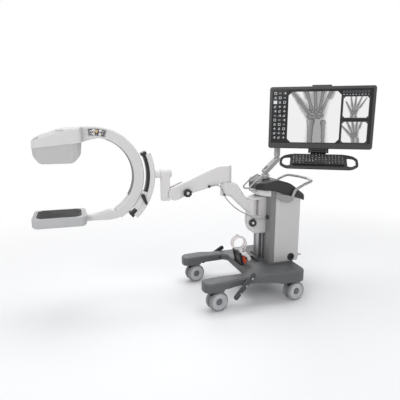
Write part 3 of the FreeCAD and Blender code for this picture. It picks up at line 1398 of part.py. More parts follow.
def foot_pedal():
    """The pedal plate, hinged near the sole's upper end."""
    body = new_body("foot_pedal")
    thick = size("sole_thickness")
    long = size("sole_length")
    hinge = (thick + 11, long - 23)
    half = size("pedal_pad_width") / 2
    outline = rounded([(thick + 9, 16, 5), (thick + 26, 6, 8), (thick + 33, 18, 8),
                       (thick + 24, long - 44, 8),
                       (thick + 12, long - 42, 4)])
    switch_side(body, outline, f"{2 * half}")
    for sign in (-1, 1):
        cheek = rounded([(hinge[0] - 7, hinge[1] - 30, 0), (hinge[0] + 7, hinge[1] - 30, 0),
                         *round_end(hinge, 7, (hinge[0] + 7, hinge[1] - 30),
                                    (hinge[0] - 7, hinge[1] - 30))])
        start = size("sole_width") / 2 - 17 + size("joint_gap") if sign > 0 else -size("sole_width") / 2 + 17 - 6.4
        pad(body, "XZ_Plane", cheek, "6", f"{start}")
    switch_side(body, rectangle(thick + 11, long - 60, thick + 21, long - 39, 1), "Sizes.sole_width - 25")
    pad(body, "XZ_Plane", circle(*hinge, 4), "Sizes.sole_width - 29", centred=True)
    body.Placement = switch_place()


def foot_switch_hood():
    """The pale hood over the pedal, open towards the toe, with a saddle for the wound cord."""
    body = new_body("foot_switch_hood")
    thick = size("sole_thickness")
    long = size("sole_length")
    depth = size("hood_depth")
    half = size("sole_width") / 2
    outline = rounded([(thick, 30, 0), (thick + depth * 0.55, 18, 10), (thick + depth + 18, 14, 14),
                       (thick + depth, 60, 60), (thick + depth * 0.72, long - 14, 20),
                       (thick, long - 2, 6)])
    switch_side(body, outline, "Sizes.sole_width")
    fillet(body, "10", lambda e: abs(abs(middle_of(e).y) - half) < 0.01 and e.Length > 14
           and middle_of(e).x > thick + 3)
    inside = rounded([(thick - 1, -20, 0), (thick + depth + 4, -20, 0), (thick + depth + 4, 16, 0),
                      (thick + depth - 8, 56, 40), (thick + depth * 0.72 - 6, long - 19.5, 12),
                      (thick - 1, long - 6.2, 0)])
    pocket(body, "XZ_Plane", inside, "Sizes.sole_width - 16", centred=True)
    body.Placement = switch_place()


def hood_top(x):
    """The height of the foot switch hood's top at a distance along X."""
    thick = size("sole_thickness")
    rear = switch_place().multVec(Vector(thick, 0, size("sole_length") - 2))
    front = switch_place().multVec(Vector(thick + size("hood_depth") * 0.72, 0, size("sole_length") - 14))
    return rear.z + (front.z - rear.z) * (x - rear.x) / (front.x - rear.x)


def coil_centre():
    """The middle of the wound cord, which rests on the hood."""
    reach = size("coil_radius") + size("coil_wander") + size("coil_cord_radius")
    return Vector(-28, 0, hood_top(-28) + 2.1 + reach)


def coil_point(index):
    """A point on the wound cord's route, a twelfth of a turn from the next."""
    angle = math.radians(30 * index - 90)
    reach = size("coil_radius") + size("coil_wander") * math.sin(0.9 * index)
    along = size("coil_spread") * (index / (12 * size("coil_turns")) - 0.5)
    return coil_centre() + Vector(reach * math.cos(angle), along, reach * math.sin(angle))


def plug_axis(x):
    """A point on the axis of the plug, which lies on the hood."""
    return Vector(x, 42, hood_top(x) + size("plug_radius") + 0.1)


def coil_solid():
    """The outer shape of the wound turns: a broad ring about an axis along Y."""
    cord = size("coil_cord_radius")
    outer = size("coil_radius") + size("coil_wander") + cord
    inner = size("coil_radius") - size("coil_wander") - cord
    half = size("coil_spread") / 2 + cord
    start = coil_centre() - Vector(0, half, 0)
    ring = Part.makeCylinder(outer, 2 * half, start, Vector(0, 1, 0))
    ring = ring.cut(Part.makeCylinder(inner, 2 * half, start, Vector(0, 1, 0)))
    item = doc.addObject("Part::Feature", "cord_coil")
    item.Shape = ring.makeFillet(cord, [edge for edge in ring.Edges if isinstance(edge.Curve, Part.Circle)])
    return item


def foot_switch_cord():
    """The foot switch's cord: out of the hood, its wound turns as one ring, then its plug."""
    radius = size("plug_radius")
    count = int(12 * size("coil_turns"))
    seat = plug_axis(-18)
    along = plug_axis(1) - plug_axis(0)
    along.normalize()
    exit_route = [Vector(-16, -40, hood_top(-16) - 2), Vector(-3, -40, hood_top(-3) + 12), coil_point(2),
                  coil_point(3)]
    plug_route = [coil_point(count - 2), coil_point(count - 1), plug_axis(-37), seat]
    runs = [tube(label, route, size("coil_cord_radius"), size("coil_bend"))
            for label, route in (("cord_exit", exit_route), ("cord_end", plug_route))]
    plug = doc.addObject("Part::Feature", "switch_plug")
    sleeve = Part.makeCone(4.2, radius - 0.6, 9, seat - along * 4, along)
    plug.Shape = sleeve.fuse(Part.makeCylinder(radius, 20, seat + along * 4, along))
    joined("foot_switch_cord", coil_solid(), *runs, plug)


# Arm cable

def arm_cables():
    """The cable in three runs, one on each part that it rides, with its gland, clip and grommet."""
    radius = size("cable_radius")
    fore = [Vector(-252, -38, 738), Vector(-250, -50, 739), Vector(-226, -52, 748), Vector(-192, -50, 744),
            Vector(-168, -44, 722), Vector(-160, -37, 692)]
    link = [Vector(-154, -36, 690), Vector(-146, -38, 664), Vector(-126, -42, 640), Vector(-92, -43, 604),
            Vector(-46, -44, 568), Vector(0, -50, 545), Vector(28, -58, 532)]
    low = [Vector(29, -58, 526), Vector(44, -62, 516), Vector(78, -74, 512), Vector(112, -88, 521),
           Vector(size("column_front"), -90, 524)]
    for label, points in (("arm_cable_fore", fore), ("arm_cable_link", link), ("arm_cable_column", low)):
        run = tube(label + "_run", points, radius, 26)
        pieces = [run]
        if label == "arm_cable_fore":
            pieces.append(gland(label, points[0], Vector(0, -1, 0)))
        if label == "arm_cable_column":
            pieces.append(gland(label, points[-1], Vector(-1, 0, 0)))
        if label == "arm_cable_link":
            pieces.append(clip(label))
        joined(label, *pieces)


def gland(label, seat, out):
    """A short tapered sleeve where the cable enters a face."""
    item = doc.addObject("Part::Feature", label + "_gland")
    item.Shape = Part.makeCone(9, 5.5, 11, seat, out)
    return item


def clip(label):
    """The small saddle that holds the cable at the elbow."""
    item = doc.addObject("Part::Box", label + "_clip")
    item.Length = 12
    item.Width = 12
    item.Height = 10
    item.Placement = at(-157, -43, 676)
    return item


def main():
    """Builds every sub-part, checks it and writes one file for each."""
    casters()
    base_shell()
    for side, sign in (("near", -1), ("far", 1)):
        brake_pedal(side, sign)
        side_panel(side, sign)
    column()
    cabinet_core()
    side_socket()
    rear_cord_gland()
    lift_rail()
    carriage()
    knob("shoulder_knob", *knob_seat(), size("carriage_width") / 2, 12)
    rear_link()
    forearm()
    knob("forearm_knob", *forearm_knob_seat(), size("forearm_width") / 2, 8)
    wrist_post()
    carrier()
    carrier_track()
    c_shoe()
    lock_lever()
    c_frame()
    source_housing()
    source_cover()
    detector_housing()
    detector_plate()
    control_panel()
    control_keys()
    top_cover()
    collar()
    handles()
    handle_mounts()
    monitor_arm_base()
    monitor_yaw_knuckle()
    monitor_lower_link()
    monitor_post()
    monitor_upper_arm()
    monitor_hub()
    monitor_back()
    monitor_bezel()
    monitor_screen()
    keyboard_tray()
    keyboard()
    foot_switch_base()
    foot_pedal()
    foot_switch_hood()
    foot_switch_cord()
    arm_cables()
    write_parts()


def write_parts():
    """Checks every object's state and every sub-part's shape, then writes the files."""
    doc.recompute()
    for item in doc.Objects:
        if "Invalid" in item.State or "Error" in item.State:
            raise ValueError(f"{item.Label} did not build: {item.State}")
    os.makedirs("parts", exist_ok=True)
    for item in NODES:
        shape = item.Shape
        if shape.isNull() or not shape.isValid():
            raise ValueError(f"{item.Label} has no valid shape")
        print(f"{item.Label}: {len(shape.Solids)} solids, {shape.Volume / 1000:.1f} cm3")
        shape.exportStep(f"parts/{item.Label}.step")


main()
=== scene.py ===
"""Looks of a mobile C-arm: materials, screen picture, wheels, cords and small fittings."""

import json
from math import atan2, cos, pi, radians, sin, tan

import bmesh
import bpy
from mathutils import Matrix, Vector

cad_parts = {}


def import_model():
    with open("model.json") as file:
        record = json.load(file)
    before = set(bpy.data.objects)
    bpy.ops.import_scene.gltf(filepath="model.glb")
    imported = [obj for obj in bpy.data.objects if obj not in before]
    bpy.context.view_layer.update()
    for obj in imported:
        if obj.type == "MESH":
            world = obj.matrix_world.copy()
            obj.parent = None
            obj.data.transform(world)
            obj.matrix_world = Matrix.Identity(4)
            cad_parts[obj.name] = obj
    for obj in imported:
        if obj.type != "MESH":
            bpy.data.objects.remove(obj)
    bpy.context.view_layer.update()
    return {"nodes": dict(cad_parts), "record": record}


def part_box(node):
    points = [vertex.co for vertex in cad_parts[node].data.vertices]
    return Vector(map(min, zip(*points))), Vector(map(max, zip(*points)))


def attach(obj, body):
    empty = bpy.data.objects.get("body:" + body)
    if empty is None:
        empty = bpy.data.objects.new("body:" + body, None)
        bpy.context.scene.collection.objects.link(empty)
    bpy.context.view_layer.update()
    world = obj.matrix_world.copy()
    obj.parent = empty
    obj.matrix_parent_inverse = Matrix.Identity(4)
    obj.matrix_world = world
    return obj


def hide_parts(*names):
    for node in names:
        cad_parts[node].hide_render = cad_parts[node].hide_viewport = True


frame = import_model()

# Turned profiles, screws, cable routes, screen marks and key symbols are in millimetres, all else in metres.
MM = 0.001
WHITE = (1.0, 1.0, 1.0, 1.0)


def linked(name, data):
    """A new object in the scene that holds some data."""
    item = bpy.data.objects.new(name, data)
    bpy.context.scene.collection.objects.link(item)
    return item


def add_node(tree, kind, inputs, **settings):
    """A new shader node. Each input is a constant or the socket that feeds it."""
    node = tree.nodes.new("ShaderNode" + kind)
    for name, value in settings.items():
        setattr(node, name, value)
    for key, value in inputs.items():
        feed(tree, node.inputs[key], value)
    return node


def feed(tree, socket, value):
    """Links a socket into another, or sets it to a constant."""
    if isinstance(value, bpy.types.NodeSocket):
        tree.links.new(value, socket)
    else:
        socket.default_value = value


# Camera, lights and floor

CAMERA_PLACE = (-1.045, -2.388, 1.16)
CAMERA_DOWN_DEGREES = 11.59
CAMERA_RIGHT_DEGREES = 17.3
SENSOR = 36.0
LIGHTS_AIM = Vector((-0.3, 0.0, 0.7))
AMBIENT_COLOUR = (0.93, 0.95, 1.0, 1.0)
AMBIENT_STRENGTH = 0.36
FLOOR_HALF = 20.0
FLOOR_FADE = (0.8, 3.2)


def camera():
    """The camera at the photograph's place, with a level horizon."""
    data = bpy.data.cameras.new("camera")
    data.sensor_fit = "HORIZONTAL"
    data.sensor_width = SENSOR
    data.lens = SENSOR
    data.clip_end = 60.0
    item = linked("camera", data)
    item.location = CAMERA_PLACE
    item.rotation_euler = (radians(90 - CAMERA_DOWN_DEGREES), 0.0, radians(-CAMERA_RIGHT_DEGREES))
    bpy.context.scene.camera = item


def softbox(name, place, width, height, power):
    """A rectangular area light that faces the object."""
    data = bpy.data.lights.new(name, "AREA")
    data.shape = "RECTANGLE"
    data.size = width
    data.size_y = height
    data.energy = power
    item = linked(name, data)
    item.location = place
    item.rotation_euler = (LIGHTS_AIM - Vector(place)).to_track_quat("-Z", "Y").to_euler()


def lights():
    """Three large softboxes round the object and one above it."""
    softbox("light_front_left", (-3.4, -3.6, 2.9), 2.6, 2.2, 90)
    softbox("light_front_right", (2.6, -3.4, 2.3), 2.0, 2.2, 30)
    softbox("light_top", (-0.2, 0.3, 4.2), 3.6, 2.6, 84)
    softbox("light_back", (0.6, 3.8, 2.6), 3.0, 2.0, 42)


def world():
    """Even pale surroundings, plain white behind the object."""
    scene = bpy.context.scene
    scene.view_settings.view_transform = "Standard"
    surroundings = bpy.data.worlds.new("surroundings")
    scene.world = surroundings
    surroundings.use_nodes = True
    tree = surroundings.node_tree
    tree.nodes.clear()
    ambient = add_node(tree, "Background", {"Color": AMBIENT_COLOUR, "Strength": AMBIENT_STRENGTH})
    backdrop = add_node(tree, "Background", {"Color": WHITE})
    rays = add_node(tree, "LightPath", {}).outputs
    shown = rays["Is Camera Ray"]
    for kind in ("Is Glossy Ray", "Is Transmission Ray"):
        shown = add_node(tree, "Math", {0: shown, 1: rays[kind]}, operation="MAXIMUM").outputs[0]
    blend = add_node(tree, "MixShader", {0: shown, 1: ambient.outputs[0], 2: backdrop.outputs[0]})
    add_node(tree, "OutputWorld", {"Surface": blend.outputs[0]})


def floor():
    """A pale seamless floor that fades to white away from the object."""
    shader = Shader("floor_paper")
    tint = shader.mix(shader.noise(60.0, 4.0), (0.94, 0.94, 0.945, 1), (0.97, 0.97, 0.97, 1))
    shader.set(Base_Color=tint, Roughness=0.75, Specular_IOR_Level=0.2)
    glow = shader.add("Emission", {"Color": WHITE})
    distance = shader.add("VectorMath", {0: shader.place}, operation="LENGTH").outputs["Value"]
    share = shader.remap(distance, *FLOOR_FADE)
    blend = shader.add("MixShader", {0: share, 1: shader.surface.outputs[0], 2: glow.outputs[0]})
    feed(shader.tree, shader.output.inputs["Surface"], blend.outputs[0])
    plane = bmesh.new()
    bmesh.ops.create_grid(plane, x_segments=2, y_segments=2, size=FLOOR_HALF)
    mesh = bpy.data.meshes.new("floor")
    plane.to_mesh(mesh)
    plane.free()
    mesh.materials.append(shader.material)
    item = linked("floor", mesh)
    item.location = (0.0, 0.0, -0.0004)


# Shading

class Shader:
    """A principled material and short ways to add the nodes that feed it."""

    def __init__(self, name):
        self.material = bpy.data.materials.new(name)
        self.material.use_nodes = True
        self.tree = self.material.node_tree
        self.tree.nodes.clear()
        self.surface = self.add("BsdfPrincipled", {})
        self.output = self.add("OutputMaterial", {"Surface": self.surface.outputs["BSDF"]})
        self.place = self.add("TexCoord", {}).outputs["Object"]

    def add(self, kind, inputs, **settings):
        """A new node of this material."""
        return add_node(self.tree, kind, inputs, **settings)

    def math(self, operation, first, second):
        """One step of arithmetic."""
        return self.add("Math", {0: first, 1: second}, operation=operation).outputs[0]

    def remap(self, value, low, high, to_low=0.0, to_high=1.0):
        """value carried smoothly from one range to another."""
        inputs = {"Value": value, "From Min": low, "From Max": high, "To Min": to_low, "To Max": to_high}
        return self.add("MapRange", inputs, interpolation_type="SMOOTHSTEP").outputs["Result"]

    def stretched(self, scale):
        """The object's coordinates scaled by a different amount along each axis."""
        return self.add("Mapping", {"Vector": self.place, "Scale": scale}).outputs["Vector"]

    def noise(self, scale, detail, place=None, roughness=0.5):
        """Soft noise from 0 to 1."""
        inputs = {"Vector": place or self.place, "Scale": scale, "Detail": detail, "Roughness": roughness}
        return self.add("TexNoise", inputs).outputs["Fac"]

    def cells(self, scale):
        """The distance to the nearest of many scattered points."""
        return self.add("TexVoronoi", {"Vector": self.place, "Scale": scale}).outputs["Distance"]

    def mix(self, share, first, second):
        """A colour between two."""
        return self.add("Mix", {0: share, 6: first, 7: second}, data_type="RGBA").outputs[2]

    def soft_edge(self, radius):
        """The normal rounded over edges, and how near an edge the point is, from 0 to 1."""
        rounded = self.add("Bevel", {"Radius": radius}, samples=4).outputs["Normal"]
        true = self.add("NewGeometry", {}).outputs["Normal"]
        agreement = self.add("VectorMath", {0: rounded, 1: true}, operation="DOT_PRODUCT").outputs["Value"]
        return rounded, self.remap(self.math("SUBTRACT", 1.0, agreement), 0.01, 0.22)

    def bump(self, height, depth, normal=None):
        """A normal shaken by a height of so many metres."""
        inputs = {"Height": height, "Distance": depth}
        if normal is not None:
            inputs["Normal"] = normal
        return self.add("Bump", inputs).outputs["Normal"]

    def set(self, **inputs):
        """Sets or links the principled inputs, named with _ for a space."""
        for name, value in inputs.items():
            feed(self.tree, self.surface.inputs[name.replace("_", " ")], value)
        return self.material


def tinted(colour, factor):
    """A colour made lighter or darker."""
    return tuple(min(1.0, channel * factor) for channel in colour[:3]) + (1.0,)


def coated(name, colour, roughness, edge, wear, coat=0.15):
    """Powder coat or lacquer: fine orange peel, faint handling marks, softened edges."""
    shader = Shader(name)
    marks = shader.noise(34.0, 6.0, roughness=0.65)
    normal, near = shader.soft_edge(edge)
    tint = shader.mix(shader.noise(5.0, 4.0), tinted(colour, 0.965), tinted(colour, 1.03))
    worn = shader.mix(shader.math("MULTIPLY", near, marks), tint, tinted(colour, wear))
    rough = shader.remap(marks, 0.3, 0.72, roughness - 0.05, roughness + 0.08)
    peel = shader.bump(shader.noise(950.0, 2.0), 0.000035, normal)
    return shader.set(Base_Color=worn, Roughness=rough, Coat_Weight=coat, Coat_Roughness=0.28, Normal=peel)


def moulded(name, colour, roughness, grain, microns, edge=0.0014, wear=1.25):
    """Injection moulded plastic: grain some microns deep, dull patches, edges rubbed a little paler."""
    shader = Shader(name)
    relief = shader.math("ADD", shader.cells(grain), shader.noise(grain * 0.55, 3.0))
    dull = shader.noise(11.0, 5.0, roughness=0.6)
    normal, near = shader.soft_edge(edge)
    tint = shader.mix(dull, tinted(colour, 0.92), tinted(colour, 1.07))
    rubbing = shader.math("MULTIPLY", near, shader.remap(dull, 0.35, 0.6, 0.1, 0.8))
    rubbed = shader.mix(rubbing, tint, tinted(colour, wear))
    rough = shader.remap(dull, 0.3, 0.7, roughness - 0.06, roughness + 0.1)
    normal = shader.bump(relief, microns * MM * MM, normal)
    return shader.set(Base_Color=rubbed, Roughness=rough, Normal=normal)


def brushed(name, colour, roughness, along, metallic=1.0, edge=0.001):
    """Metal with fine parallel lines and a few longer scratches."""
    shader = Shader(name)
    lines = shader.noise(1.0, 3.0, shader.stretched(along))
    wide = shader.stretched(tuple(0.12 * scale for scale in along))
    scratch = shader.remap(shader.noise(1.0, 5.0, wide), 0.62, 0.7)
    normal = shader.soft_edge(edge)[0]
    tint = shader.mix(lines, tinted(colour, 0.93), tinted(colour, 1.05))
    tint = shader.mix(shader.math("MULTIPLY", scratch, 0.35), tint, tinted(colour, 1.2))
    rough = shader.remap(shader.noise(9.0, 4.0), 0.3, 0.7, roughness - 0.05, roughness + 0.09)
    relief = shader.bump(lines, 0.000012, normal)
    return shader.set(Base_Color=tint, Roughness=rough, Metallic=metallic, Normal=relief)


def rubber(name, colour, roughness):
    """Soft rubber or cable sheath: dusty, dull and slightly uneven."""
    shader = Shader(name)
    dust = shader.noise(70.0, 6.0, roughness=0.7)
    tint = shader.mix(shader.remap(dust, 0.35, 0.75), tinted(colour, 0.9), tinted(colour, 1.15))
    rough = shader.remap(dust, 0.3, 0.7, roughness - 0.08, roughness + 0.1)
    relief = shader.bump(shader.noise(1300.0, 2.0), 0.00005)
    return shader.set(Base_Color=tint, Roughness=rough, Normal=relief)


def plate_finish(name):
    """The detector's carbon-fibre face: a fine woven sheen under a dull lacquer."""
    shader = Shader(name)
    weave = shader.add("TexBrick", {
        "Vector": shader.place, "Scale": 120, "Mortar Size": 0.012, "Brick Width": 0.5, "Row Height": 0.25,
        "Color1": (0.02, 0.0175, 0.0185, 1), "Color2": (0.03, 0.026, 0.0275, 1),
        "Mortar": (0.012, 0.011, 0.012, 1)}).outputs
    normal, near = shader.soft_edge(0.0015)
    tint = shader.mix(shader.math("MULTIPLY", near, 0.5), weave["Color"], (0.1, 0.095, 0.095, 1))
    rough = shader.remap(shader.noise(13.0, 5.0), 0.3, 0.7, 0.62, 0.74)
    relief = shader.bump(weave["Fac"], 0.00003, normal)
    return shader.set(Base_Color=tint, Roughness=rough, Specular_IOR_Level=0.22, Normal=relief)


def display_glass(name):
    """The unlit surround of the display: black glass with faint finger marks."""
    shader = Shader(name)
    smear = shader.noise(16.0, 6.0, roughness=0.7)
    tint = shader.mix(smear, (0.006, 0.006, 0.007, 1), (0.012, 0.012, 0.014, 1))
    rough = shader.remap(smear, 0.4, 0.7, 0.12, 0.26)
    relief = shader.bump(smear, 0.00001)
    return shader.set(Base_Color=tint, Roughness=rough, Specular_IOR_Level=0.35, Normal=relief)


def lit(name, colour, strength):
    """A lit mark on a display or panel, a little uneven like a backlight."""
    shader = Shader(name)
    tint = shader.mix(shader.noise(240.0, 2.0), tinted(colour, 0.85), tinted(colour, 1.0))
    shader.set(Base_Color=(0.02, 0.02, 0.02, 1), Roughness=0.3)
    return shader.set(Emission_Color=tint, Emission_Strength=strength)


# The picture on the display

# Bones of the hand, (x, z) start, (x, z) end, radius at the start and at the end, in millimetres.
# It is a plain drawing of the radius, ulna, carpals, metacarpals and phalanges made for this part.
BONES = [
    ((-57, -190), (-58, -24), 19, 27), ((24, -190), (18, -28), 13, 18),
    ((-68, 9), (-56, 7), 15, 15), ((-40, 5), (-34, 8), 15, 14), ((-12, 6), (-10, 10), 14, 13),
    ((8, 12), (10, 17), 11, 11),
    ((-72, 35), (-67, 38), 12, 12), ((-48, 37), (-47, 41), 12, 12), ((-25, 36), (-24, 42), 15, 13),
    ((0, 40), (4, 44), 14, 13),
    ((-57, 58), (-88, 158), 13, 14), ((-30, 60), (-38, 174), 12, 14), ((-5, 62), (10, 170), 11, 13),
    ((14, 60), (55, 156), 11, 13), ((-84, 46), (-130, 104), 13, 13),
    ((-138, 115), (-172, 156), 11, 10), ((-177, 163), (-192, 186), 9, 7),
    ((-93, 175), (-118, 236), 11, 9), ((-41, 191), (-48, 262), 11, 9), ((14, 187), (26, 254), 11, 9),
    ((61, 171), (88, 222), 10, 8),
    ((-121, 246), (-134, 284), 8, 7), ((-50, 273), (-56, 320), 9, 8), ((29, 265), (40, 306), 8, 7),
    ((92, 231), (106, 262), 7, 6),
    ((-137, 293), (-144, 315), 7, 6), ((-57, 330), (-60, 352), 7, 6), ((43, 315), (49, 336), 7, 6),
    ((109, 271), (117, 290), 6, 5),
]
# The flesh round them, in the same form.
FLESH = [
    ((-20, -230), (-20, -30), 84, 68), ((-24, 0), (-24, 110), 66, 88), ((-64, 20), (-130, 104), 42, 28),
    ((-130, 104), (-190, 182), 27, 18), ((-82, 130), (-144, 316), 30, 15), ((-34, 150), (-60, 354), 30, 16),
    ((10, 150), (50, 338), 28, 15), ((50, 130), (118, 292), 28, 13),
]


def capsule_group():
    """A node group: the depth of a point in a bar with round ends, 1 on its middle line and 0 at its edge."""
    group = bpy.data.node_groups.new("capsule", "ShaderNodeTree")
    inputs = dict.fromkeys(("Point", "Start", "End"), "NodeSocketVector")
    inputs.update(dict.fromkeys(("Start radius", "End radius", "Flare"), "NodeSocketFloat"))
    for name, kind in inputs.items():
        group.interface.new_socket(name, in_out="INPUT", socket_type=kind)
    group.interface.new_socket("Depth", in_out="OUTPUT", socket_type="NodeSocketFloat")
    given = group.nodes.new("NodeGroupInput").outputs
    result = group.nodes.new("NodeGroupOutput")

    def vector(operation, output, inputs):
        return add_node(group, "VectorMath", inputs, operation=operation).outputs[output]

    def number(operation, *values, clamp=False):
        inputs = dict(enumerate(values))
        return add_node(group, "Math", inputs, operation=operation, use_clamp=clamp).outputs[0]

    offset = vector("SUBTRACT", "Vector", {0: given["Point"], 1: given["Start"]})
    bar = vector("SUBTRACT", "Vector", {0: given["End"], 1: given["Start"]})
    along = vector("DOT_PRODUCT", "Value", {0: offset, 1: bar})
    share = number("DIVIDE", along, vector("DOT_PRODUCT", "Value", {0: bar, 1: bar}), clamp=True)
    foot = vector("SCALE", "Vector", {0: bar, "Scale": share})
    across = vector("LENGTH", "Value", {0: vector("SUBTRACT", "Vector", {0: offset, 1: foot})})
    spread = number("SUBTRACT", given["End radius"], given["Start radius"])
    plain = number("MULTIPLY_ADD", share, spread, given["Start radius"])
    ends = number("POWER", number("ABSOLUTE", number("MULTIPLY_ADD", share, 2.0, -1.0)), 3.0)
    waist = number("MULTIPLY_ADD", ends, given["Flare"], number("SUBTRACT", 1.0, given["Flare"]))
    depth = number("SUBTRACT", 1.0, number("DIVIDE", across, number("MULTIPLY", plain, waist)))
    group.links.new(depth, result.inputs["Depth"])
    return group


def deepest(shader, capsules, bars, point, flare):
    """The greatest depth of a point in any of many bars, whose ends flare if they are long."""
    best = None
    for (x1, z1), (x2, z2), start, end in bars:
        inputs = {"Point": point, "Start": (x1, 0.0, z1), "End": (x2, 0.0, z2), "Start radius": start,
                  "End radius": end, "Flare": flare if abs(z2 - z1) > 20 else 0.0}
        depth = shader.add("Group", inputs, node_tree=capsules).outputs["Depth"]
        best = depth if best is None else shader.math("MAXIMUM", best, depth)
    return best


def radiograph(name):
    """A negative picture of a hand: pale ground, grey flesh and darker bones with dense rims."""
    shader = Shader(name)
    flat = shader.add("VectorMath", {0: shader.place, 1: (1.0, 0.0, 1.0)}, operation="MULTIPLY").outputs[0]
    wobble = shader.math("SUBTRACT", shader.noise(0.045, 3.0, flat), 0.5)
    push = shader.add("CombineXYZ", {0: wobble, 2: wobble}).outputs[0]
    inputs = {0: push, 1: (9.0, 0.0, 7.0), 2: flat}
    point = shader.add("VectorMath", inputs, operation="MULTIPLY_ADD").outputs[0]
    capsules = capsule_group()
    flesh = shader.remap(deepest(shader, capsules, FLESH, point, 0.0), -0.02, 0.55)
    bone = deepest(shader, capsules, BONES, point, 0.28)
    rim = shader.math("MULTIPLY", shader.remap(bone, -0.06, 0.12), shader.remap(bone, 0.12, 0.6, 1.0, 0.45))
    grain = shader.math("SUBTRACT", shader.noise(0.35, 5.0, flat, 0.7), 0.5)
    grey = shader.math("SUBTRACT", 0.93, shader.math("MULTIPLY", flesh, 0.3))
    grey = shader.math("SUBTRACT", grey, shader.math("MULTIPLY", rim, 0.3))
    grey = shader.math("ADD", grey, shader.math("MULTIPLY", grain, 0.07))
    light = shader.math("POWER", shader.math("MAXIMUM", grey, 0.02), 2.2)
    tint = shader.add("CombineColor", {0: light, 1: light, 2: light}).outputs[0]
    shader.set(Base_Color=(0.01, 0.01, 0.01, 1), Roughness=0.22)
    return shader.set(Emission_Color=tint, Emission_Strength=0.95)


# Finishes

# One for each slot of the record, then those of single nodes and of the added pieces.
# Each row holds the function that makes the finish and what follows the name in its call.
FINISHES = {
    "base_plastic": (moulded, (0.092, 0.094, 0.097), 0.5, 1200, 50, 0.003, 1.5),
    "pedal_metal": (coated, (0.035, 0.035, 0.037), 0.4, 0.0015, 1.6),
    "column_paint": (coated, (0.18, 0.178, 0.18), 0.34, 0.0015, 1.15),
    "cabinet_paint": (coated, (0.36, 0.36, 0.365), 0.4, 0.002, 1.12),
    "panel_silver": (brushed, (0.52, 0.515, 0.515), 0.42, (700, 700, 9), 0.35, 0.0015),
    "arm_paint": (coated, (0.66, 0.645, 0.64), 0.38, 0.0018, 1.06),
    "black_plastic": (moulded, (0.011, 0.011, 0.012), 0.42, 1600, 50, 0.0014, 2.2),
    "pale_rubber": (rubber, (0.8, 0.755, 0.74), 0.7),
    "rail_metal": (brushed, (0.42, 0.42, 0.43), 0.3, (900, 900, 6)),
    "c_paint": (coated, (0.62, 0.612, 0.612), 0.36, 0.003, 1.05),
    "grey_shell": (moulded, (0.45, 0.45, 0.455), 0.44, 1400, 40, 0.003, 1.15),
    "dark_plate": (plate_finish,),
    "key_plastic": (moulded, (0.78, 0.75, 0.72), 0.4, 1500, 30, 0.0006, 1.1),
    "handle_metal": (coated, (0.36, 0.36, 0.355), 0.3, 0.001, 1.2, 0.3),
    "mount_plastic": (moulded, (0.29, 0.29, 0.285), 0.36, 1500, 30, 0.0015, 1.15),
    "screen_glass": (display_glass,),
    "orange_plastic": (moulded, (0.66, 0.085, 0.035), 0.42, 900, 60, 0.0015, 1.15),
    "white_plastic": (moulded, (0.8, 0.78, 0.77), 0.4, 1400, 30, 0.002, 1.04),
    "cable_rubber": (rubber, (0.33, 0.325, 0.325), 0.55),
    "fork_plastic": (moulded, (0.03, 0.03, 0.032), 0.45, 1400, 50, 0.0012, 1.8),
    "wheel_tyre": (rubber, (0.25, 0.25, 0.258), 0.6),
    "post_paint": (coated, (0.43, 0.425, 0.425), 0.34, 0.0015, 1.1),
    "bezel_plastic": (moulded, (0.035, 0.035, 0.037), 0.34, 1600, 40, 0.0014, 2),
    "cover_shell": (moulded, (0.47, 0.468, 0.47), 0.44, 1400, 40, 0.003, 1.1),
    "wheel_disc": (moulded, (0.5, 0.5, 0.51), 0.4, 1300, 40, 0.001, 1.1),
    "wheel_hub": (moulded, (0.13, 0.13, 0.14), 0.38, 1500, 30, 0.0008, 1.4),
    "screw_metal": (brushed, (0.55, 0.55, 0.55), 0.3, (300, 900, 900)),
    "socket_shade": (moulded, (0.012, 0.012, 0.012), 0.6, 1500, 30),
    # The dark grey of the strip inside the C is painted shade for the C's shadowed inner face.
    "trim_grey": (rubber, (0.17, 0.17, 0.175), 0.6),
    "membrane": (moulded, (0.055, 0.05, 0.056), 0.5, 1800, 30, 0.0006, 1.3),
    "print_white": (moulded, (0.72, 0.72, 0.72), 0.55, 1500, 20),
    "print_grey": (moulded, (0.16, 0.16, 0.165), 0.55, 1500, 20),
    "amber_lens": (lit, (0.95, 0.55, 0.12), 0.7),
    "radiograph": (radiograph,),
    "lit_white": (lit, (0.8, 0.82, 0.84), 0.9),
    "lit_grey": (lit, (0.2, 0.21, 0.22), 0.8),
}
# Nodes whose finish differs a little from the others of their slot.
OWN_FINISH = {
    "source_cover": "cover_shell", "monitor_bezel": "bezel_plastic", "monitor_lower_link": "post_paint",
    "monitor_post": "post_paint", "monitor_yaw_knuckle": "post_paint", "monitor_upper_arm": "post_paint",
}
finishes = {}


def make_finishes():
    """Every material, kept by its name."""
    for name, (make, *values) in FINISHES.items():
        finishes[name] = make(name, *values)


def dress_nodes():
    """Gives every CAD node the finish of its slot."""
    for part in frame["record"]["subparts"]:
        materials = frame["nodes"][part["node"]].data.materials
        materials.clear()
        materials.append(finishes[OWN_FINISH.get(part["node"], part["material_slot"])])


# Making pieces

def finished(item, body, slot, *materials):
    """Gives a piece its body and finishes, which are the slot's own unless others are named."""
    for material in materials or (slot,):
        item.data.materials.append(finishes[material])
    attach(item, body)
    return item


def from_bmesh(name, shape, place=None, smooth=40.0):
    """An object made from a bmesh, its faces smooth up to an angle."""
    mesh = bpy.data.meshes.new(name)
    bmesh.ops.recalc_face_normals(shape, faces=shape.faces)
    for face in shape.faces:
        face.smooth = True
    limit = radians(smooth)
    for edge in shape.edges:
        if len(edge.link_faces) == 2 and edge.calc_face_angle(0.0) > limit:
            edge.smooth = False
    shape.to_mesh(mesh)
    shape.free()
    item = linked(name, mesh)
    if place is not None:
        item.matrix_world = place
    bpy.context.view_layer.update()
    return item


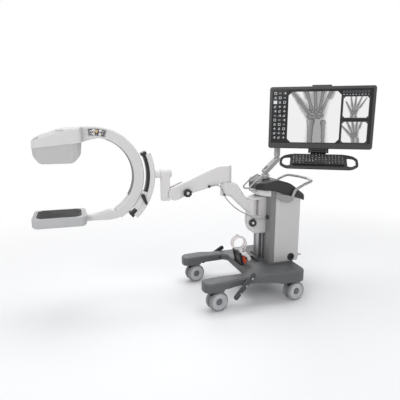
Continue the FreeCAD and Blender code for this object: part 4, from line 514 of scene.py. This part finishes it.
def join(shape, first, second):
    """The faces between two closed rings of as many points."""
    faces = []
    for k, corner in enumerate(first):
        n = (k + 1) % len(first)
        faces.append(shape.faces.new((corner, first[n], second[n], second[k])))
    return faces


def lathe(shape, profile, segments, place=None):
    """Turns a profile of radius, height and perhaps material about Z. A radius of 0 closes an end."""
    rings = []
    for radius, height, *_ in profile:
        count = segments if radius else 1
        rings.append([])
        for k in range(count):
            turn = 2 * pi * k / segments
            point = (radius * MM * cos(turn), radius * MM * sin(turn), height * MM)
            rings[-1].append(shape.verts.new(point))
    for low, high, (_, _, *material) in zip(rings, rings[1:], profile[1:]):
        for k in range(segments):
            n = (k + 1) % segments
            corners = []
            for corner in (low[k % len(low)], low[n % len(low)], high[n % len(high)], high[k % len(high)]):
                if corner not in corners:
                    corners.append(corner)
            if len(corners) > 2:
                shape.faces.new(corners).material_index = material[0] if material else 0
    if place is not None:
        bmesh.ops.transform(shape, matrix=place, verts=[v for ring_points in rings for v in ring_points])


def turned(name, profile, segments, place):
    """An object of one turned profile."""
    shape = bmesh.new()
    lathe(shape, profile, segments, place)
    return from_bmesh(name, shape)


def rounded_corners(points, steps=5):
    """A closed outline with its corners rounded. Each point is (x, y, radius)."""
    outline = []
    for index, (x, y, radius) in enumerate(points):
        here = Vector((x, y))
        if radius <= 0:
            outline.append(here)
            continue
        back = Vector(points[index - 1][:2]) - here
        ahead = Vector(points[(index + 1) % len(points)][:2]) - here
        reach = min(radius / tan(back.angle(ahead) / 2), back.length * 0.49, ahead.length * 0.49)
        start = here + back.normalized() * reach
        end = here + ahead.normalized() * reach
        for step in range(steps + 1):
            share = step / steps
            outline.append(start * (1 - share) ** 2 + here * 2 * share * (1 - share) + end * share ** 2)
    return outline


def oblong(width, height, radius, x=0.0, y=0.0):
    """The outline of a rounded rectangle about a middle point."""
    w, h = width / 2, height / 2
    return rounded_corners([(x - w, y - h, radius), (x + w, y - h, radius), (x + w, y + h, radius),
                            (x - w, y + h, radius)])


def slab(shape, outline, low, high, place=None, material=0):
    """A flat plate between two heights from an outline in X and Y."""
    bottom = [shape.verts.new((p[0], p[1], low)) for p in outline]
    top = [shape.verts.new((p[0], p[1], high)) for p in outline]
    faces = [shape.faces.new(top), shape.faces.new(list(reversed(bottom)))] + join(shape, bottom, top)
    for face in faces:
        face.material_index = material
    if place is not None:
        bmesh.ops.transform(shape, matrix=place, verts=bottom + top)


def plate(name, outline, low, high, place=None):
    """An object of one flat plate."""
    shape = bmesh.new()
    slab(shape, outline, low, high, place)
    return from_bmesh(name, shape)


def facing(point, normal):
    """A placement whose Z points along a normal."""
    return Matrix.Translation(point) @ Vector(normal).to_track_quat("Z", "Y").to_matrix().to_4x4()


def softened(item, width):
    """A small rounded chamfer on a piece's edges."""
    modifier = item.modifiers.new("soft_edges", "BEVEL")
    modifier.width = width
    modifier.segments = 2
    modifier.limit_method = "ANGLE"
    modifier.angle_limit = radians(35)
    modifier.harden_normals = True
    return item


def smooth_line(name, points, radius):
    """A cable of round section on a NURBS line whose control points are the route's points."""
    curve = bpy.data.curves.new(name, "CURVE")
    curve.dimensions = "3D"
    curve.bevel_depth = radius * MM
    curve.bevel_resolution = 5
    curve.resolution_u = 10
    curve.use_fill_caps = True
    line = curve.splines.new("NURBS")
    line.points.add(len(points) - 1)
    for point, place in zip(line.points, points):
        point.co = (place[0] * MM, place[1] * MM, place[2] * MM, 1.0)
    line.order_u = 3
    line.use_endpoint_u = True
    return linked(name, curve)


SCREW = [(0, 0.15, 1), (0.42, 0.15, 1), (0.46, 0.55, 1), (0.72, 0.5), (0.95, 0.28), (1, 0), (1, -0.3)]


def screws(name, body, slot, places):
    """One piece with a low domed, socketed screw head at each (point, normal, radius)."""
    shape = bmesh.new()
    for point, normal, radius in places:
        profile = [(across * radius, height * radius, *material) for across, height, *material in SCREW]
        lathe(shape, profile, 20, facing(point, normal))
    return finished(from_bmesh(name, shape), body, slot, "screw_metal", "socket_shade")


# Casters

CASTERS = {"front_near": (-0.295, -0.24), "front_far": (-0.295, 0.24), "rear_near": (0.234, -0.24),
           "rear_far": (0.234, 0.24)}
CASTER_TURN = radians(10)
CASTER_TRAIL = 0.03
AXLE_HEIGHT = 0.0625
SPOKES = 6
WHEEL_FINISHES = ("wheel_tyre", "wheel_disc", "wheel_hub", "screw_metal")
# One wheel's section from the axle out to its cap: radius, height and which of those finishes.
WHEEL = [
    (6.5, 0, 3), (6.5, 10, 3), (19, 10.8, 2), (21, 12.2, 1), (47, 15, 1), (50, 13.8, 1), (51.2, 12.4),
    (56, 12.7), (59.6, 13.9), (61.6, 16), (62.4, 19), (62.5, 22.5), (62.4, 26.8), (61.5, 30.2), (59.4, 32.8),
    (55.6, 34.5), (52, 34.8), (50.8, 33.8), (50, 31.8, 1), (48.8, 30, 1), (40, 29.6, 1), (38.8, 30.3, 1),
    (30, 30.9, 1), (23.2, 31.6, 1), (22.2, 30.8, 1), (21.2, 30.8, 2), (20.5, 33, 2), (18.6, 35, 2),
    (15, 35.6, 2), (14, 34.4, 2), (12, 34.4, 2), (11, 35.8, 2), (6, 36, 2), (0, 36, 2),
]
SWIVEL_RING = [(20.5, 126.2), (28.5, 126.2), (29.2, 127.2), (29.2, 130.6), (28.4, 131.8), (20.5, 132.2)]


def casters():
    """Twin wheels with tyres, dished discs and hub caps in place of the plain ones, and bearing rings."""
    for corner, (x, y) in CASTERS.items():
        shape = bmesh.new()
        for side in (-1, 1):
            lathe(shape, [(radius, side * height, *material) for radius, height, *material in WHEEL], 72)
        spokes(shape)
        trail = (x + CASTER_TRAIL * cos(CASTER_TURN), y + CASTER_TRAIL * sin(CASTER_TURN))
        turning = Matrix.Rotation(CASTER_TURN, 4, "Z") @ Matrix.Rotation(pi / 2, 4, "X")
        place = Matrix.Translation((*trail, AXLE_HEIGHT)) @ turning
        wheels = from_bmesh(f"wheels_{corner}", shape, place, 35.0)
        finished(wheels, f"wheels_{corner}", "wheel_tyre", *WHEEL_FINISHES)
        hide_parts(f"caster_wheels_{corner}")
        bearing = turned(f"swivel_ring_{corner}", SWIVEL_RING, 48, Matrix.Translation((x, y, 0)))
        finished(bearing, f"fork_{corner}", "fork_plastic", "screw_metal")


def spokes(shape):
    """Low ribs on both discs of a wheel pair, set between hub and rim."""
    for side in (-1, 1):
        for index in range(SPOKES):
            angle = 2 * pi * index / SPOKES
            place = Matrix.Rotation(angle, 4, "Z") @ Matrix.Translation((0.031, 0.0, side * 0.0302))
            slab(shape, oblong(0.0125, 0.0034, 0.0015), -0.0011, 0.0011, place, 1)


# Cords and cables

COIL_TURNS = 5
COIL_POINTS = 12
COIL_RADIUS = 46
COIL_WAVE = 2.4
COIL_LENGTH = 62
COIL_X = -28
CORD_RADIUS = 3
# How far the coil's middle and the lying plug's axis are above the hood, as the sum of a gap and a radius.
COIL_RISE = (2.1, 51.4)
PLUG_RISE = 6.1
# The foot switch's origin, (x, z), and how many degrees it leans back on the base's front.
SWITCH_PLACE = (-30, 190)
SWITCH_LEAN = 12
PLUG = [
    (3.1, -4), (4.1, -3.8), (4.4, -2), (4, -1.2), (4.7, 0.2), (4.3, 1), (5.1, 2.6), (4.7, 3.4), (5.8, 4.4),
    (6, 6), (6, 17), (5.6, 17.6), (5.6, 18.4), (6, 19), (5.9, 22.2), (5.2, 22.6, 1), (5, 24, 1), (3.6, 24, 1),
    (3.4, 22.8, 1), (0, 22.8, 1),
]


def coil_point(index, centre):
    """A point on the wound cord's route, a twelfth of a turn from the next."""
    angle = radians(30 * index - 90)
    reach = COIL_RADIUS + COIL_WAVE * sin(0.9 * index)
    along = COIL_LENGTH * (index / (COIL_POINTS * COIL_TURNS) - 0.5)
    return (centre[0] + reach * cos(angle), along, centre[2] + reach * sin(angle))


def hood_top(x):
    """The height of the foot switch hood's top at a distance along X, in millimetres."""
    cosine = cos(radians(SWITCH_LEAN))
    sine = sin(radians(SWITCH_LEAN))
    (rear_x, rear_z), (front_x, front_z) = [
        (SWITCH_PLACE[0] + out * cosine - up * sine, SWITCH_PLACE[1] + out * sine + up * cosine)
        for out, up in ((16, 94), (54.88, 82))]
    return rear_z + (front_z - rear_z) * (x - rear_x) / (front_x - rear_x)


def switch_cord():
    """The foot switch's cord wound on its hood, with its tie, strain relief and plug."""
    centre = (COIL_X, 0.0, hood_top(COIL_X) + COIL_RISE[0] + COIL_RISE[1])
    end = (-18, 42, hood_top(-18) + PLUG_RISE)
    route = [(-16, -40, hood_top(-16) - 2), (-3, -40, hood_top(-3) + 12)]
    route += [coil_point(index, centre) for index in range(2, COIL_POINTS * COIL_TURNS)]
    route += [(-37, 42, hood_top(-37) + PLUG_RISE), end]
    cord = smooth_line("switch_cord", route, CORD_RADIUS)
    finished(cord, "foot_switch", "pale_rubber")
    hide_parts("foot_switch_cord")
    along = Vector((1, 0, hood_top(1) - hood_top(0))).normalized()
    plug = turned("switch_plug", PLUG, 32, facing(Vector(end) * MM, along))
    finished(plug, "foot_switch", "pale_rubber", "white_plastic", "screw_metal")
    relief = strain_relief(Vector(route[0]) * MM, Vector(route[1]) * MM)
    tie = cord_tie(centre)


def strain_relief(start, towards):
    """A short ribbed sleeve where the cord leaves the foot switch."""
    profile = [(6.2, 0), (6.2, 3)]
    for rib in range(4):
        outer, inner, height = 5.4 - 0.5 * rib, 4.5 - 0.5 * rib, 3.5 + 3 * rib
        profile += [(outer, height), (outer, height + 1.6), (inner, height + 1.8), (inner, height + 2.8)]
    profile.append((3.1, 15.8))
    sleeve = turned("switch_cord_relief", profile, 24, facing(start, (towards - start).normalized()))
    return finished(sleeve, "foot_switch", "pale_rubber", "trim_grey")


def cord_tie(centre):
    """The strap that bundles the turns at the top of the coil."""
    half = 0.006
    middle = (centre[2] + COIL_RADIUS) * MM
    outer = oblong(0.07, 0.0132, 0.006)
    inner = oblong(0.068, 0.0112, 0.005)
    shape = bmesh.new()
    rings = [[shape.verts.new((x, p[0], middle + p[1])) for p in outline]
             for x, outline in ((-half, outer), (half, outer), (half, inner), (-half, inner))]
    for first, second in zip(rings, rings[1:] + rings[:1]):
        join(shape, first, second)
    item = from_bmesh("switch_cord_tie", shape, Matrix.Translation((centre[0] * MM, 0, 0)))
    return finished(item, "foot_switch", "pale_rubber", "white_plastic")


ARM_CABLE = {
    "arm_cable_fore": ("forearm", [
        (-252, -38, 738), (-250, -50, 739), (-226, -52, 748), (-192, -50, 744), (-168, -44, 722),
        (-160, -37, 692)]),
    "arm_cable_link": ("rear_link", [
        (-154, -36, 690), (-146, -38, 664), (-126, -42, 640), (-92, -43, 604), (-46, -44, 568), (0, -50, 545),
        (28, -58, 532)]),
    "arm_cable_column": ("cabinet", [
        (29, -58, 526), (44, -62, 516), (78, -74, 512), (112, -88, 521), (137, -90, 524)]),
}
GLAND_NECK = [(8.6, 4.2), (8.4, 5.2), (7.8, 5.6), (6.6, 9.4), (5.8, 10.8), (2.2, 10.9)]
GLAND_NUT = 0.0098


def arm_cables():
    """The cable along the arm in three runs, each on the part that carries it, with glands and a clip."""
    for name, (body, points) in ARM_CABLE.items():
        cable = smooth_line(name + "_line", points, 3.5)
        finished(cable, body, "cable_rubber")
        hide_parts(name)
    gland("cable_gland_fore", (-0.252, -0.038, 0.738), (0, -1, 0), "forearm", 1.0)
    gland("cable_gland_column", (0.137, -0.09, 0.524), (-1, 0, 0), "cabinet", 1.5)
    seat = Matrix.Translation((-0.151, -0.037, 0.681))
    clip = plate("cable_clip", oblong(0.012, 0.012, 0.003), -0.005, 0.005, seat)
    finished(softened(clip, 0.0012), "rear_link", "cable_rubber", "black_plastic")


def gland(name, seat, out, body, size):
    """A threaded cable gland: a six-sided nut, a tapered neck and a soft lip."""
    shape = bmesh.new()
    angles = [pi * k / 3 for k in range(6)]
    hexagon = [Vector((GLAND_NUT * cos(angle), GLAND_NUT * sin(angle))) for angle in angles]
    place = facing(seat, out) @ Matrix.Diagonal((size, size, size, 1.0))
    slab(shape, hexagon, 0.0, 0.0042, place)
    lathe(shape, GLAND_NECK, 32, place)
    finished(softened(from_bmesh(name, shape), 0.0005), body, "cable_rubber", "black_plastic")


# Screen

MONITOR = Matrix.Translation((0.436, -0.167, 1.16)) @ Matrix.Rotation(radians(-32), 4, "Z")
SCREEN_FRONT = -0.0194
MARKS_FRONT = -0.0193
MONITOR_IN = MONITOR.to_3x3() @ Vector((0, -1, 0))


def on_screen(name, outline, local):
    """A flat picture on the glass, its own coordinates in millimetres across and up."""
    shape = bmesh.new()
    shape.faces.new([shape.verts.new((x, 0.0, z)) for x, z in outline])
    item = from_bmesh(name, shape, MONITOR @ Matrix.Translation((0, SCREEN_FRONT, 0)) @ local)
    finished(item, "monitor", "screen_glass", "radiograph")


def pictures():
    """The large radiograph and the two small ones beside it."""
    on_screen("picture_large", [(-176, -152), (95, -152), (117, -130), (117, 138), (95, 160), (-176, 160),
                                (-198, 138), (-198, -130)], Matrix.Scale(MM, 4))
    for name, low, high, size, turn, centre in (("picture_upper", 2, 127, 0.36, 9, (-18, 118)),
                                                ("picture_lower", -149, -24, 0.42, -7, (-28, 70))):
        middle = Matrix.Translation(Vector((204, 0, (low + high) / 2)) * MM)
        turning = Matrix.Rotation(radians(turn), 4, "Y") @ Matrix.Scale(size * MM, 4)
        local = middle @ turning @ Matrix.Translation((-centre[0], 0, -centre[1]))
        back = (Matrix.Scale(1000, 4) @ local).inverted()
        corners = [(142, low), (266, low), (277, low + 11), (277, high - 11), (266, high), (142, high),
                   (131, high - 11), (131, low + 11)]
        outline = [back @ Vector((x, 0, z)) for x, z in corners]
        on_screen(name, [(p.x, p.z) for p in outline], local)


def patch(shape, x, z, width, height, material):
    """A small rectangle on the screen by its middle point."""
    w, h = width / 2, height / 2
    corners = ((x - w, 0, z - h), (x + w, 0, z - h), (x + w, 0, z + h), (x - w, 0, z + h))
    shape.faces.new([shape.verts.new(corner) for corner in corners]).material_index = material


def ring(shape, x, z, width, height, line, material):
    """The outline of a rectangle on the screen."""
    for side in (-1, 1):
        patch(shape, x, z + side * (height - line) / 2, width, line, material)
        patch(shape, x + side * (width - line) / 2, z, line, height - 2 * line, material)


def button(shape, x, z, kind):
    """One of six plain signs."""
    if kind == 0:
        ring(shape, x, z, 15, 15, 2.2, 0)
    elif kind == 1:
        for line in range(3):
            patch(shape, x, z - 5 + 5 * line, 14 - 3 * line, 2.4, 0)
    elif kind == 2:
        patch(shape, x, z, 2.6, 15, 0)
        patch(shape, x, z, 15, 2.6, 0)
    elif kind == 3:
        ring(shape, x - 2, z - 2, 11, 11, 2, 0)
        patch(shape, x + 5, z + 5, 6, 6, 1)
    elif kind == 4:
        patch(shape, x - 4, z, 5, 12, 1)
        patch(shape, x + 4, z, 5, 12, 0)
    else:
        patch(shape, x, z, 15, 9, 1)


FIRST_BUTTON = (-279, 152)
BUTTON_PITCH = (29, 27.5)


def toolbar():
    """Buttons down the left, a strip of them at top right, and frames round the small pictures."""
    shape = bmesh.new()
    for row in range(11):
        for column in range(3):
            x = FIRST_BUTTON[0] + column * BUTTON_PITCH[0]
            z = FIRST_BUTTON[1] - row * BUTTON_PITCH[1]
            button(shape, x, z, (row * 7 + column * 5) % 6)
    patch(shape, -279, 97, 22, 20, 0)
    patch(shape, -250, -96, 62, 1.6, 1)
    patch(shape, -250, 10, 62, 1.6, 1)
    for column in range(9):
        x = 131 + column * 17.5
        ring(shape, x, 156, 10, 10, 1.6, 1)
        patch(shape, x, 140, 9 - 2 * (column % 3), 3, 0)
    ring(shape, 204, 64.5, 152, 131, 1.4, 1)
    ring(shape, 204, -86.5, 152, 131, 1.4, 1)
    bmesh.ops.transform(shape, matrix=Matrix.Scale(MM, 4), verts=shape.verts)
    item = from_bmesh("screen_marks", shape, MONITOR @ Matrix.Translation((0, MARKS_FRONT, 0)))
    finished(item, "monitor", "screen_glass", "lit_white", "lit_grey")


# Finding places on the object

def against(node, point, direction):
    """The point and normal where a line in a direction first meets a CAD node."""
    _, place, normal, _ = frame["nodes"][node].ray_cast(Vector(point), Vector(direction).normalized())
    return place.copy(), normal.copy()


def seen(node, u, v):
    """The point and normal on a CAD node that the photograph of 400 x 400 pixels shows at a pixel."""
    view = bpy.context.scene.camera.matrix_world
    aim = Vector(((u - 200.0) / 400.0, (200.0 - v) / 400.0, -1.0))
    return against(node, view.translation, view.to_3x3() @ aim)


# The C

C_CENTRE = (-0.948, 0.826)
MARKS_FRONT_BACK = (-0.0397, -0.0393)
# Bands about the C's centre: inner and outer radius, first and last angle in degrees, front and back.
# The first band is the dark strip along the inside of the C, painted shade where the inner face lies in
# shadow.
INNER_SHADE_STRIP = (0.2242, 0.2256, -31, 70, -0.0315, 0.0315)
MEMBRANE = (0.2385, 0.2752, 73.8, 94.2, -0.03955, -0.0388)
DASH_WIDTH = 0.0034


def on_c(radius, angle, y):
    """A point about the C's centre."""
    return (C_CENTRE[0] + radius * cos(angle), y, C_CENTRE[1] + radius * sin(angle))


def sector_band(shape, inner, outer, first, last, low, high, steps):
    """A curved slab about the C's centre, between two radii, angles and distances along Y."""
    rings = []
    for step in range(steps + 1):
        angle = radians(first + (last - first) * step / steps)
        corners = ((inner, low), (outer, low), (outer, high), (inner, high))
        rings.append([shape.verts.new(on_c(radius, angle, y)) for radius, y in corners])
    shape.faces.new(rings[0])
    shape.faces.new(list(reversed(rings[-1])))
    for one, two in zip(rings, rings[1:]):
        join(shape, one, two)


def c_details():
    """A soft dark grey strip along the inside of the C, painted shade where the C's inner face lies in
    shadow.
    """
    shape = bmesh.new()
    sector_band(shape, *INNER_SHADE_STRIP, 48)
    finished(softened(from_bmesh("c_inner_shade_strip", shape), 0.0005), "c_arm", "c_paint", "trim_grey")


def panel_details():
    """The dark membrane round the control keys, with its printed frames, symbols and lamp."""
    shape = bmesh.new()
    sector_band(shape, *MEMBRANE, 48)
    finished(softened(from_bmesh("panel_membrane", shape), 0.0002), "c_arm", "grey_shell", "membrane")
    frames = [(0.2402, 0.2408, 74.6, 93.4, 24), (0.2729, 0.2735, 74.6, 93.4, 24)]
    frames += [(0.2402, 0.2735, first, first + 0.16, 2) for first in (74.5, 84.0, 93.2)]
    dashes = [(89.6, 92.6, inner) for inner in (0.264, 0.2585, 0.248)]
    dashes += [(76.0, 77.6, inner) for inner in (0.256, 0.248, 0.264)]
    marks = bmesh.new()
    for inner, outer, first, last, steps in frames:
        sector_band(marks, inner, outer, first, last, *MARKS_FRONT_BACK, steps)
    for first, last, inner in dashes:
        sector_band(marks, inner, inner + DASH_WIDTH, first, last, *MARKS_FRONT_BACK, 4)
    finished(from_bmesh("panel_marks", marks), "c_arm", "grey_shell", "print_white")
    seat = on_c(0.262, radians(84.6), -0.0395)
    profile = [(0, 2.6), (3.2, 2.5), (5.6, 1.9), (6.6, 0.8), (6.7, 0.3, 1), (8.0, 0.3, 1), (8.2, -0.6, 1)]
    lamp = turned("panel_lamp", profile, 40, facing(seat, (0, -1, 0)))
    finished(lamp, "c_arm", "key_plastic", "amber_lens", "screw_metal")


def key_symbols():
    """A printed symbol on each control key: arrows up and down, a bar and a spot."""
    symbols = [[(-3, -2), (3, -2), (0, 3.2)], [(-3, 2), (0, -3.2), (3, 2)],
               [(-3, -0.8), (3, -0.8), (3, 0.8), (-3, 0.8)],
               [(2.6 * cos(k * pi / 8), 2.6 * sin(k * pi / 8)) for k in range(16)]]
    for index, outline in enumerate(symbols, 1):
        low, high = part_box(f"control_key_{index}")
        middle = (low + high) / 2
        face = low.y - 0.00008
        shape = bmesh.new()
        shape.faces.new([shape.verts.new((middle.x + x * MM, face, middle.z + z * MM)) for x, z in outline])
        finished(from_bmesh(f"key_symbol_{index}", shape), f"key_{index}", "key_plastic", "print_grey")


PLATE_MARGIN = 0.004
PLATE_CORNER = 0.004
PLATE_CUT = 0.026
FRAME_CORNER = 0.022
FRAME_DROP = 0.0021
BORDER_SCALE = (0.93, 0.91)
BORDER_HALF_LINE = 0.0004
PRINT_LIFT = 0.00006


def detector_details():
    """The detector's plate with cut corners, the frame that fills its recess and a thin printed border."""
    low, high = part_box("detector_plate")
    middle = Vector(((low.x + high.x) / 2, (low.y + high.y) / 2))
    half_x, half_y = (high.x - low.x) / 2, (high.y - low.y) / 2
    w, d = half_x - PLATE_MARGIN, half_y - PLATE_MARGIN
    quarter = [(w - PLATE_CUT, -d), (w, -d + PLATE_CUT), (w, d - PLATE_CUT), (w - PLATE_CUT, d)]
    corners = [Vector(corner) for corner in quarter + [(-x, -y) for x, y in quarter]]
    outline = rounded_corners([(*(middle + corner), PLATE_CORNER) for corner in corners], 4)
    face = softened(plate("detector_face", outline, low.z, high.z), 0.0012)
    finished(face, "c_arm", "dark_plate")
    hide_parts("detector_plate")
    recess = oblong(2 * half_x, 2 * half_y, FRAME_CORNER, *middle)
    surround = plate("detector_frame", recess, low.z, high.z - FRAME_DROP)
    finished(softened(surround, 0.0006), "c_arm", "dark_plate", "c_paint")
    border = bmesh.new()
    for here, ahead in zip(corners, corners[1:] + corners[:1]):
        start, end = [middle + corner * Vector(BORDER_SCALE) for corner in (here, ahead)]
        side = (end - start).normalized().orthogonal() * BORDER_HALF_LINE
        points = (start - side, end - side, end + side, start + side)
        border.faces.new([border.verts.new((p.x, p.y, high.z + PRINT_LIFT)) for p in points])
    finished(from_bmesh("detector_border", border), "c_arm", "dark_plate", "print_grey")


def source_details():
    """The two screws of the source's cover and the two recesses in its top."""
    places = [(*against("source_cover", (x, -0.3, 0.985), (0, 1, 0)), 3.4) for x in (-1.245, -1.03)]
    screws("source_screws", "c_arm", "grey_shell", places)
    shape = bmesh.new()
    for u, v, length in ((59.0, 130.4, 0.042), (35.6, 138.4, 0.026)):
        place = facing(*seen("source_housing", u, v))
        local = (place.to_3x3().inverted() @ Vector((1, 0, 0))).normalized()
        place = place @ Matrix.Rotation(atan2(local.y, local.x), 4, "Z")
        slab(shape, oblong(length, 0.01, 0.0045), -0.001, 0.0006, place)
    finished(softened(from_bmesh("source_recesses", shape), 0.0004), "c_arm", "grey_shell")


# Foot switch

def switch_side():
    """The stored foot switch's side plane: X out from its sole, Y along it, Z across it."""
    place = Matrix.Translation((SWITCH_PLACE[0] * MM, 0, SWITCH_PLACE[1] * MM))
    lean = Matrix.Rotation(radians(-SWITCH_LEAN), 4, "Y")
    return place @ lean @ Matrix.Rotation(pi / 2, 4, "X")


def foot_switch():
    """The hood with its side openings, and the deep orange pedal inside it."""
    hood = linked("switch_hood", frame["nodes"]["foot_switch_hood"].data.copy())
    opening = rounded_corners([(0.012, 0.004, 0.0), (0.056, 0.004, 0.012), (0.05, 0.05, 0.016),
                               (0.034, 0.07, 0.012), (0.012, 0.074, 0.006)])
    cutter = plate("switch_cutter", opening, -0.08, 0.08, switch_side())
    step = hood.modifiers.new("side_opening", "BOOLEAN")
    step.operation = "DIFFERENCE"
    step.solver = "EXACT"
    step.object = cutter
    bpy.context.view_layer.update()
    hood.data = evaluated_mesh(hood)
    hood.modifiers.clear()
    bpy.data.objects.remove(cutter)
    hood.data.materials.clear()
    finished(hood, "foot_switch", "white_plastic")
    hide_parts("foot_switch_hood")
    side = rounded_corners([(0.0205, 0.016, 0.005), (0.038, 0.005, 0.006), (0.048, 0.014, 0.008),
                            (0.042, 0.052, 0.014), (0.032, 0.066, 0.006), (0.0222, 0.06, 0.004)])
    pedal = softened(plate("switch_pedal", side, -0.049, 0.049, switch_side()), 0.0016)
    finished(pedal, "foot_pedal", "orange_plastic")
    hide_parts("foot_pedal")


def evaluated_mesh(item):
    """A new mesh of an object as its modifiers or its text leave it."""
    return bpy.data.meshes.new_from_object(item.evaluated_get(bpy.context.evaluated_depsgraph_get()))


# Keyboard, with its keys' pitch and first key along X and Y

TRAY = MONITOR @ Matrix.Translation((0, -0.002, -0.2115)) @ Matrix.Rotation(radians(25), 4, "X")
KEY_FACE = 0.00758
KEY_PITCH = (0.01933, 0.0208)
FIRST_KEY = (-0.148, -0.1462)
SIGN_SIZE = 0.0105
# The signs of each row from the front, with spaces where the space bar is.
KEY_ROWS = ["~^#+      %&/<>+", "zxcvbnm,.:;_/^<>", "asdfghjkl+#*=<>^", "qwertyuiop[]7894",
            "1234567890-=4561", "*+o-=<>^v|#/:0.2"]


def legends():
    """A letter, number or plain sign on each key of the keyboard."""
    shape = bmesh.new()
    made = {}
    for row, signs in enumerate(KEY_ROWS):
        for column, sign in enumerate(signs):
            if sign == " ":
                continue
            if sign not in made:
                made[sign] = glyph(sign.upper())
            x = FIRST_KEY[0] + KEY_PITCH[0] * column
            y = FIRST_KEY[1] + KEY_PITCH[1] * row
            place = TRAY @ Matrix.Translation((x, y, KEY_FACE)) @ Matrix.Scale(SIGN_SIZE, 4)
            add_mesh(shape, made[sign], place)
    finished(from_bmesh("key_legends", shape), "tray", "black_plastic", "print_white")


def glyph(sign):
    """The mesh of one character."""
    text = bpy.data.curves.new("glyph", "FONT")
    text.body = sign
    text.align_x = "CENTER"
    text.align_y = "CENTER"
    text.resolution_u = 2
    text.offset = 0.012
    holder = linked("glyph", text)
    bpy.context.view_layer.update()
    mesh = evaluated_mesh(holder)
    bpy.data.objects.remove(holder)
    return mesh


def add_mesh(shape, mesh, place):
    """Adds a mesh to a bmesh at a place."""
    start = len(shape.verts)
    shape.from_mesh(mesh)
    shape.verts.ensure_lookup_table()
    bmesh.ops.transform(shape, matrix=place, verts=shape.verts[start:])


# Cabinet, monitor's back and brake pedals

def fixings():
    """The screws of both side panels and of the monitor's back."""
    panel = [(*against(f"side_panel_{side}", (x, y, z), (0, -y, 0)), 3.4)
             for x, z in ((0.18, 0.24), (0.328, 0.24), (0.18, 0.664), (0.326, 0.632))
             for side, y in (("near", -0.3), ("far", 0.3))]
    screws("panel_screws", "cabinet", "panel_silver", panel)
    back = [(*against("monitor_back", MONITOR @ Vector((x, 0.3, z)), MONITOR_IN), 3.8)
            for x in (-0.22, 0.22) for z in (-0.14, 0.14)]
    screws("monitor_screws", "monitor", "black_plastic", back)


def pedal_bolts():
    """Three bolt heads along each brake pedal, the far ones mirrored from the near."""
    near = [seen("brake_pedal_near", u, v) for u, v in ((241.5, 294.0), (247.0, 286.5), (252.8, 279.0))]
    far = [against("brake_pedal_far", (point.x, -point.y, point.z + 0.1), (0, 0, -1)) for point, _ in near]
    for side, spots in (("near", near), ("far", far)):
        screws(f"pedal_bolts_{side}", f"brake_{side}", "pedal_metal", [(*spot, 6.2) for spot in spots])


def knob_caps():
    """The turned metal centre of each clamp knob."""
    profile = [(0, 0.6), (3.0, 0.6), (3.4, 1.4), (7.2, 1.8), (8.8, 1.0), (9.4, 0.2), (9.4, -3.0)]
    for knob in ("shoulder_knob", "forearm_knob"):
        low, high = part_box(knob)
        middle = ((low.x + high.x) / 2, low.y, (low.z + high.z) / 2)
        cap = turned(f"{knob}_cap", profile, 48, facing(middle, (0, -1, 0)))
        finished(cap, knob, "black_plastic", "screw_metal")


def rear_gland():
    """The pale ribbed sleeve low on the cabinet's rear face."""
    low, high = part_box("rear_cord_gland")
    middle = (low.x, (low.y + high.y) / 2, (low.z + high.z) / 2)
    profile = [(12.8, 0), (13, 6), (12.2, 7.2)]
    for rib in range(7):
        outer, inner, height = 10.8 - 0.5 * rib, 9.2 - 0.5 * rib, 8.5 + 5.8 * rib
        profile += [(inner, height), (outer, height + 0.8), (outer, height + 3.4), (inner, height + 4.2)]
    profile += [(5.6, 49.6), (5.2, 53, 1), (0, 53.2, 1)]
    sleeve = turned("rear_gland_sleeve", profile, 40, facing(middle, (1, 0, 0)))
    finished(sleeve, "cabinet", "pale_rubber", "pale_rubber", "screw_metal")
    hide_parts("rear_cord_gland")


# Rows of slots: their number, where the first is, and the pitch.
CABINET_SLOTS = (9, 0.34, 0.014)
MONITOR_SLOTS = (22, -0.168, 0.016)


def vents():
    """Slots in the cabinet's rear face and in the monitor's back."""
    count, first, pitch = CABINET_SLOTS
    shape = bmesh.new()
    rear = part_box("cabinet_core")[1].x
    for row in range(count):
        place = facing((rear, 0.0, first + pitch * row), (1, 0, 0))
        slab(shape, oblong(0.12, 0.005, 0.0024), -0.0008, 0.0004, place)
    finished(from_bmesh("cabinet_vents", shape), "cabinet", "cabinet_paint", "socket_shade")
    count, first, pitch = MONITOR_SLOTS
    slots = bmesh.new()
    for column in range(count):
        start = MONITOR @ Vector((first + pitch * column, 0.3, 0.095))
        place = facing(*against("monitor_back", start, MONITOR_IN))
        slab(slots, oblong(0.0042, 0.03, 0.002), -0.0006, 0.0004, place)
    finished(from_bmesh("monitor_vents", slots), "monitor", "black_plastic", "socket_shade")


def show():
    """Everything in order."""
    for step in (camera, lights, world, floor, make_finishes, dress_nodes, casters, switch_cord, arm_cables,
                 pictures, toolbar, c_details, panel_details, key_symbols, detector_details, source_details,
                 foot_switch, legends, fixings, pedal_bolts, vents, rear_gland, knob_caps):
        step()


show()
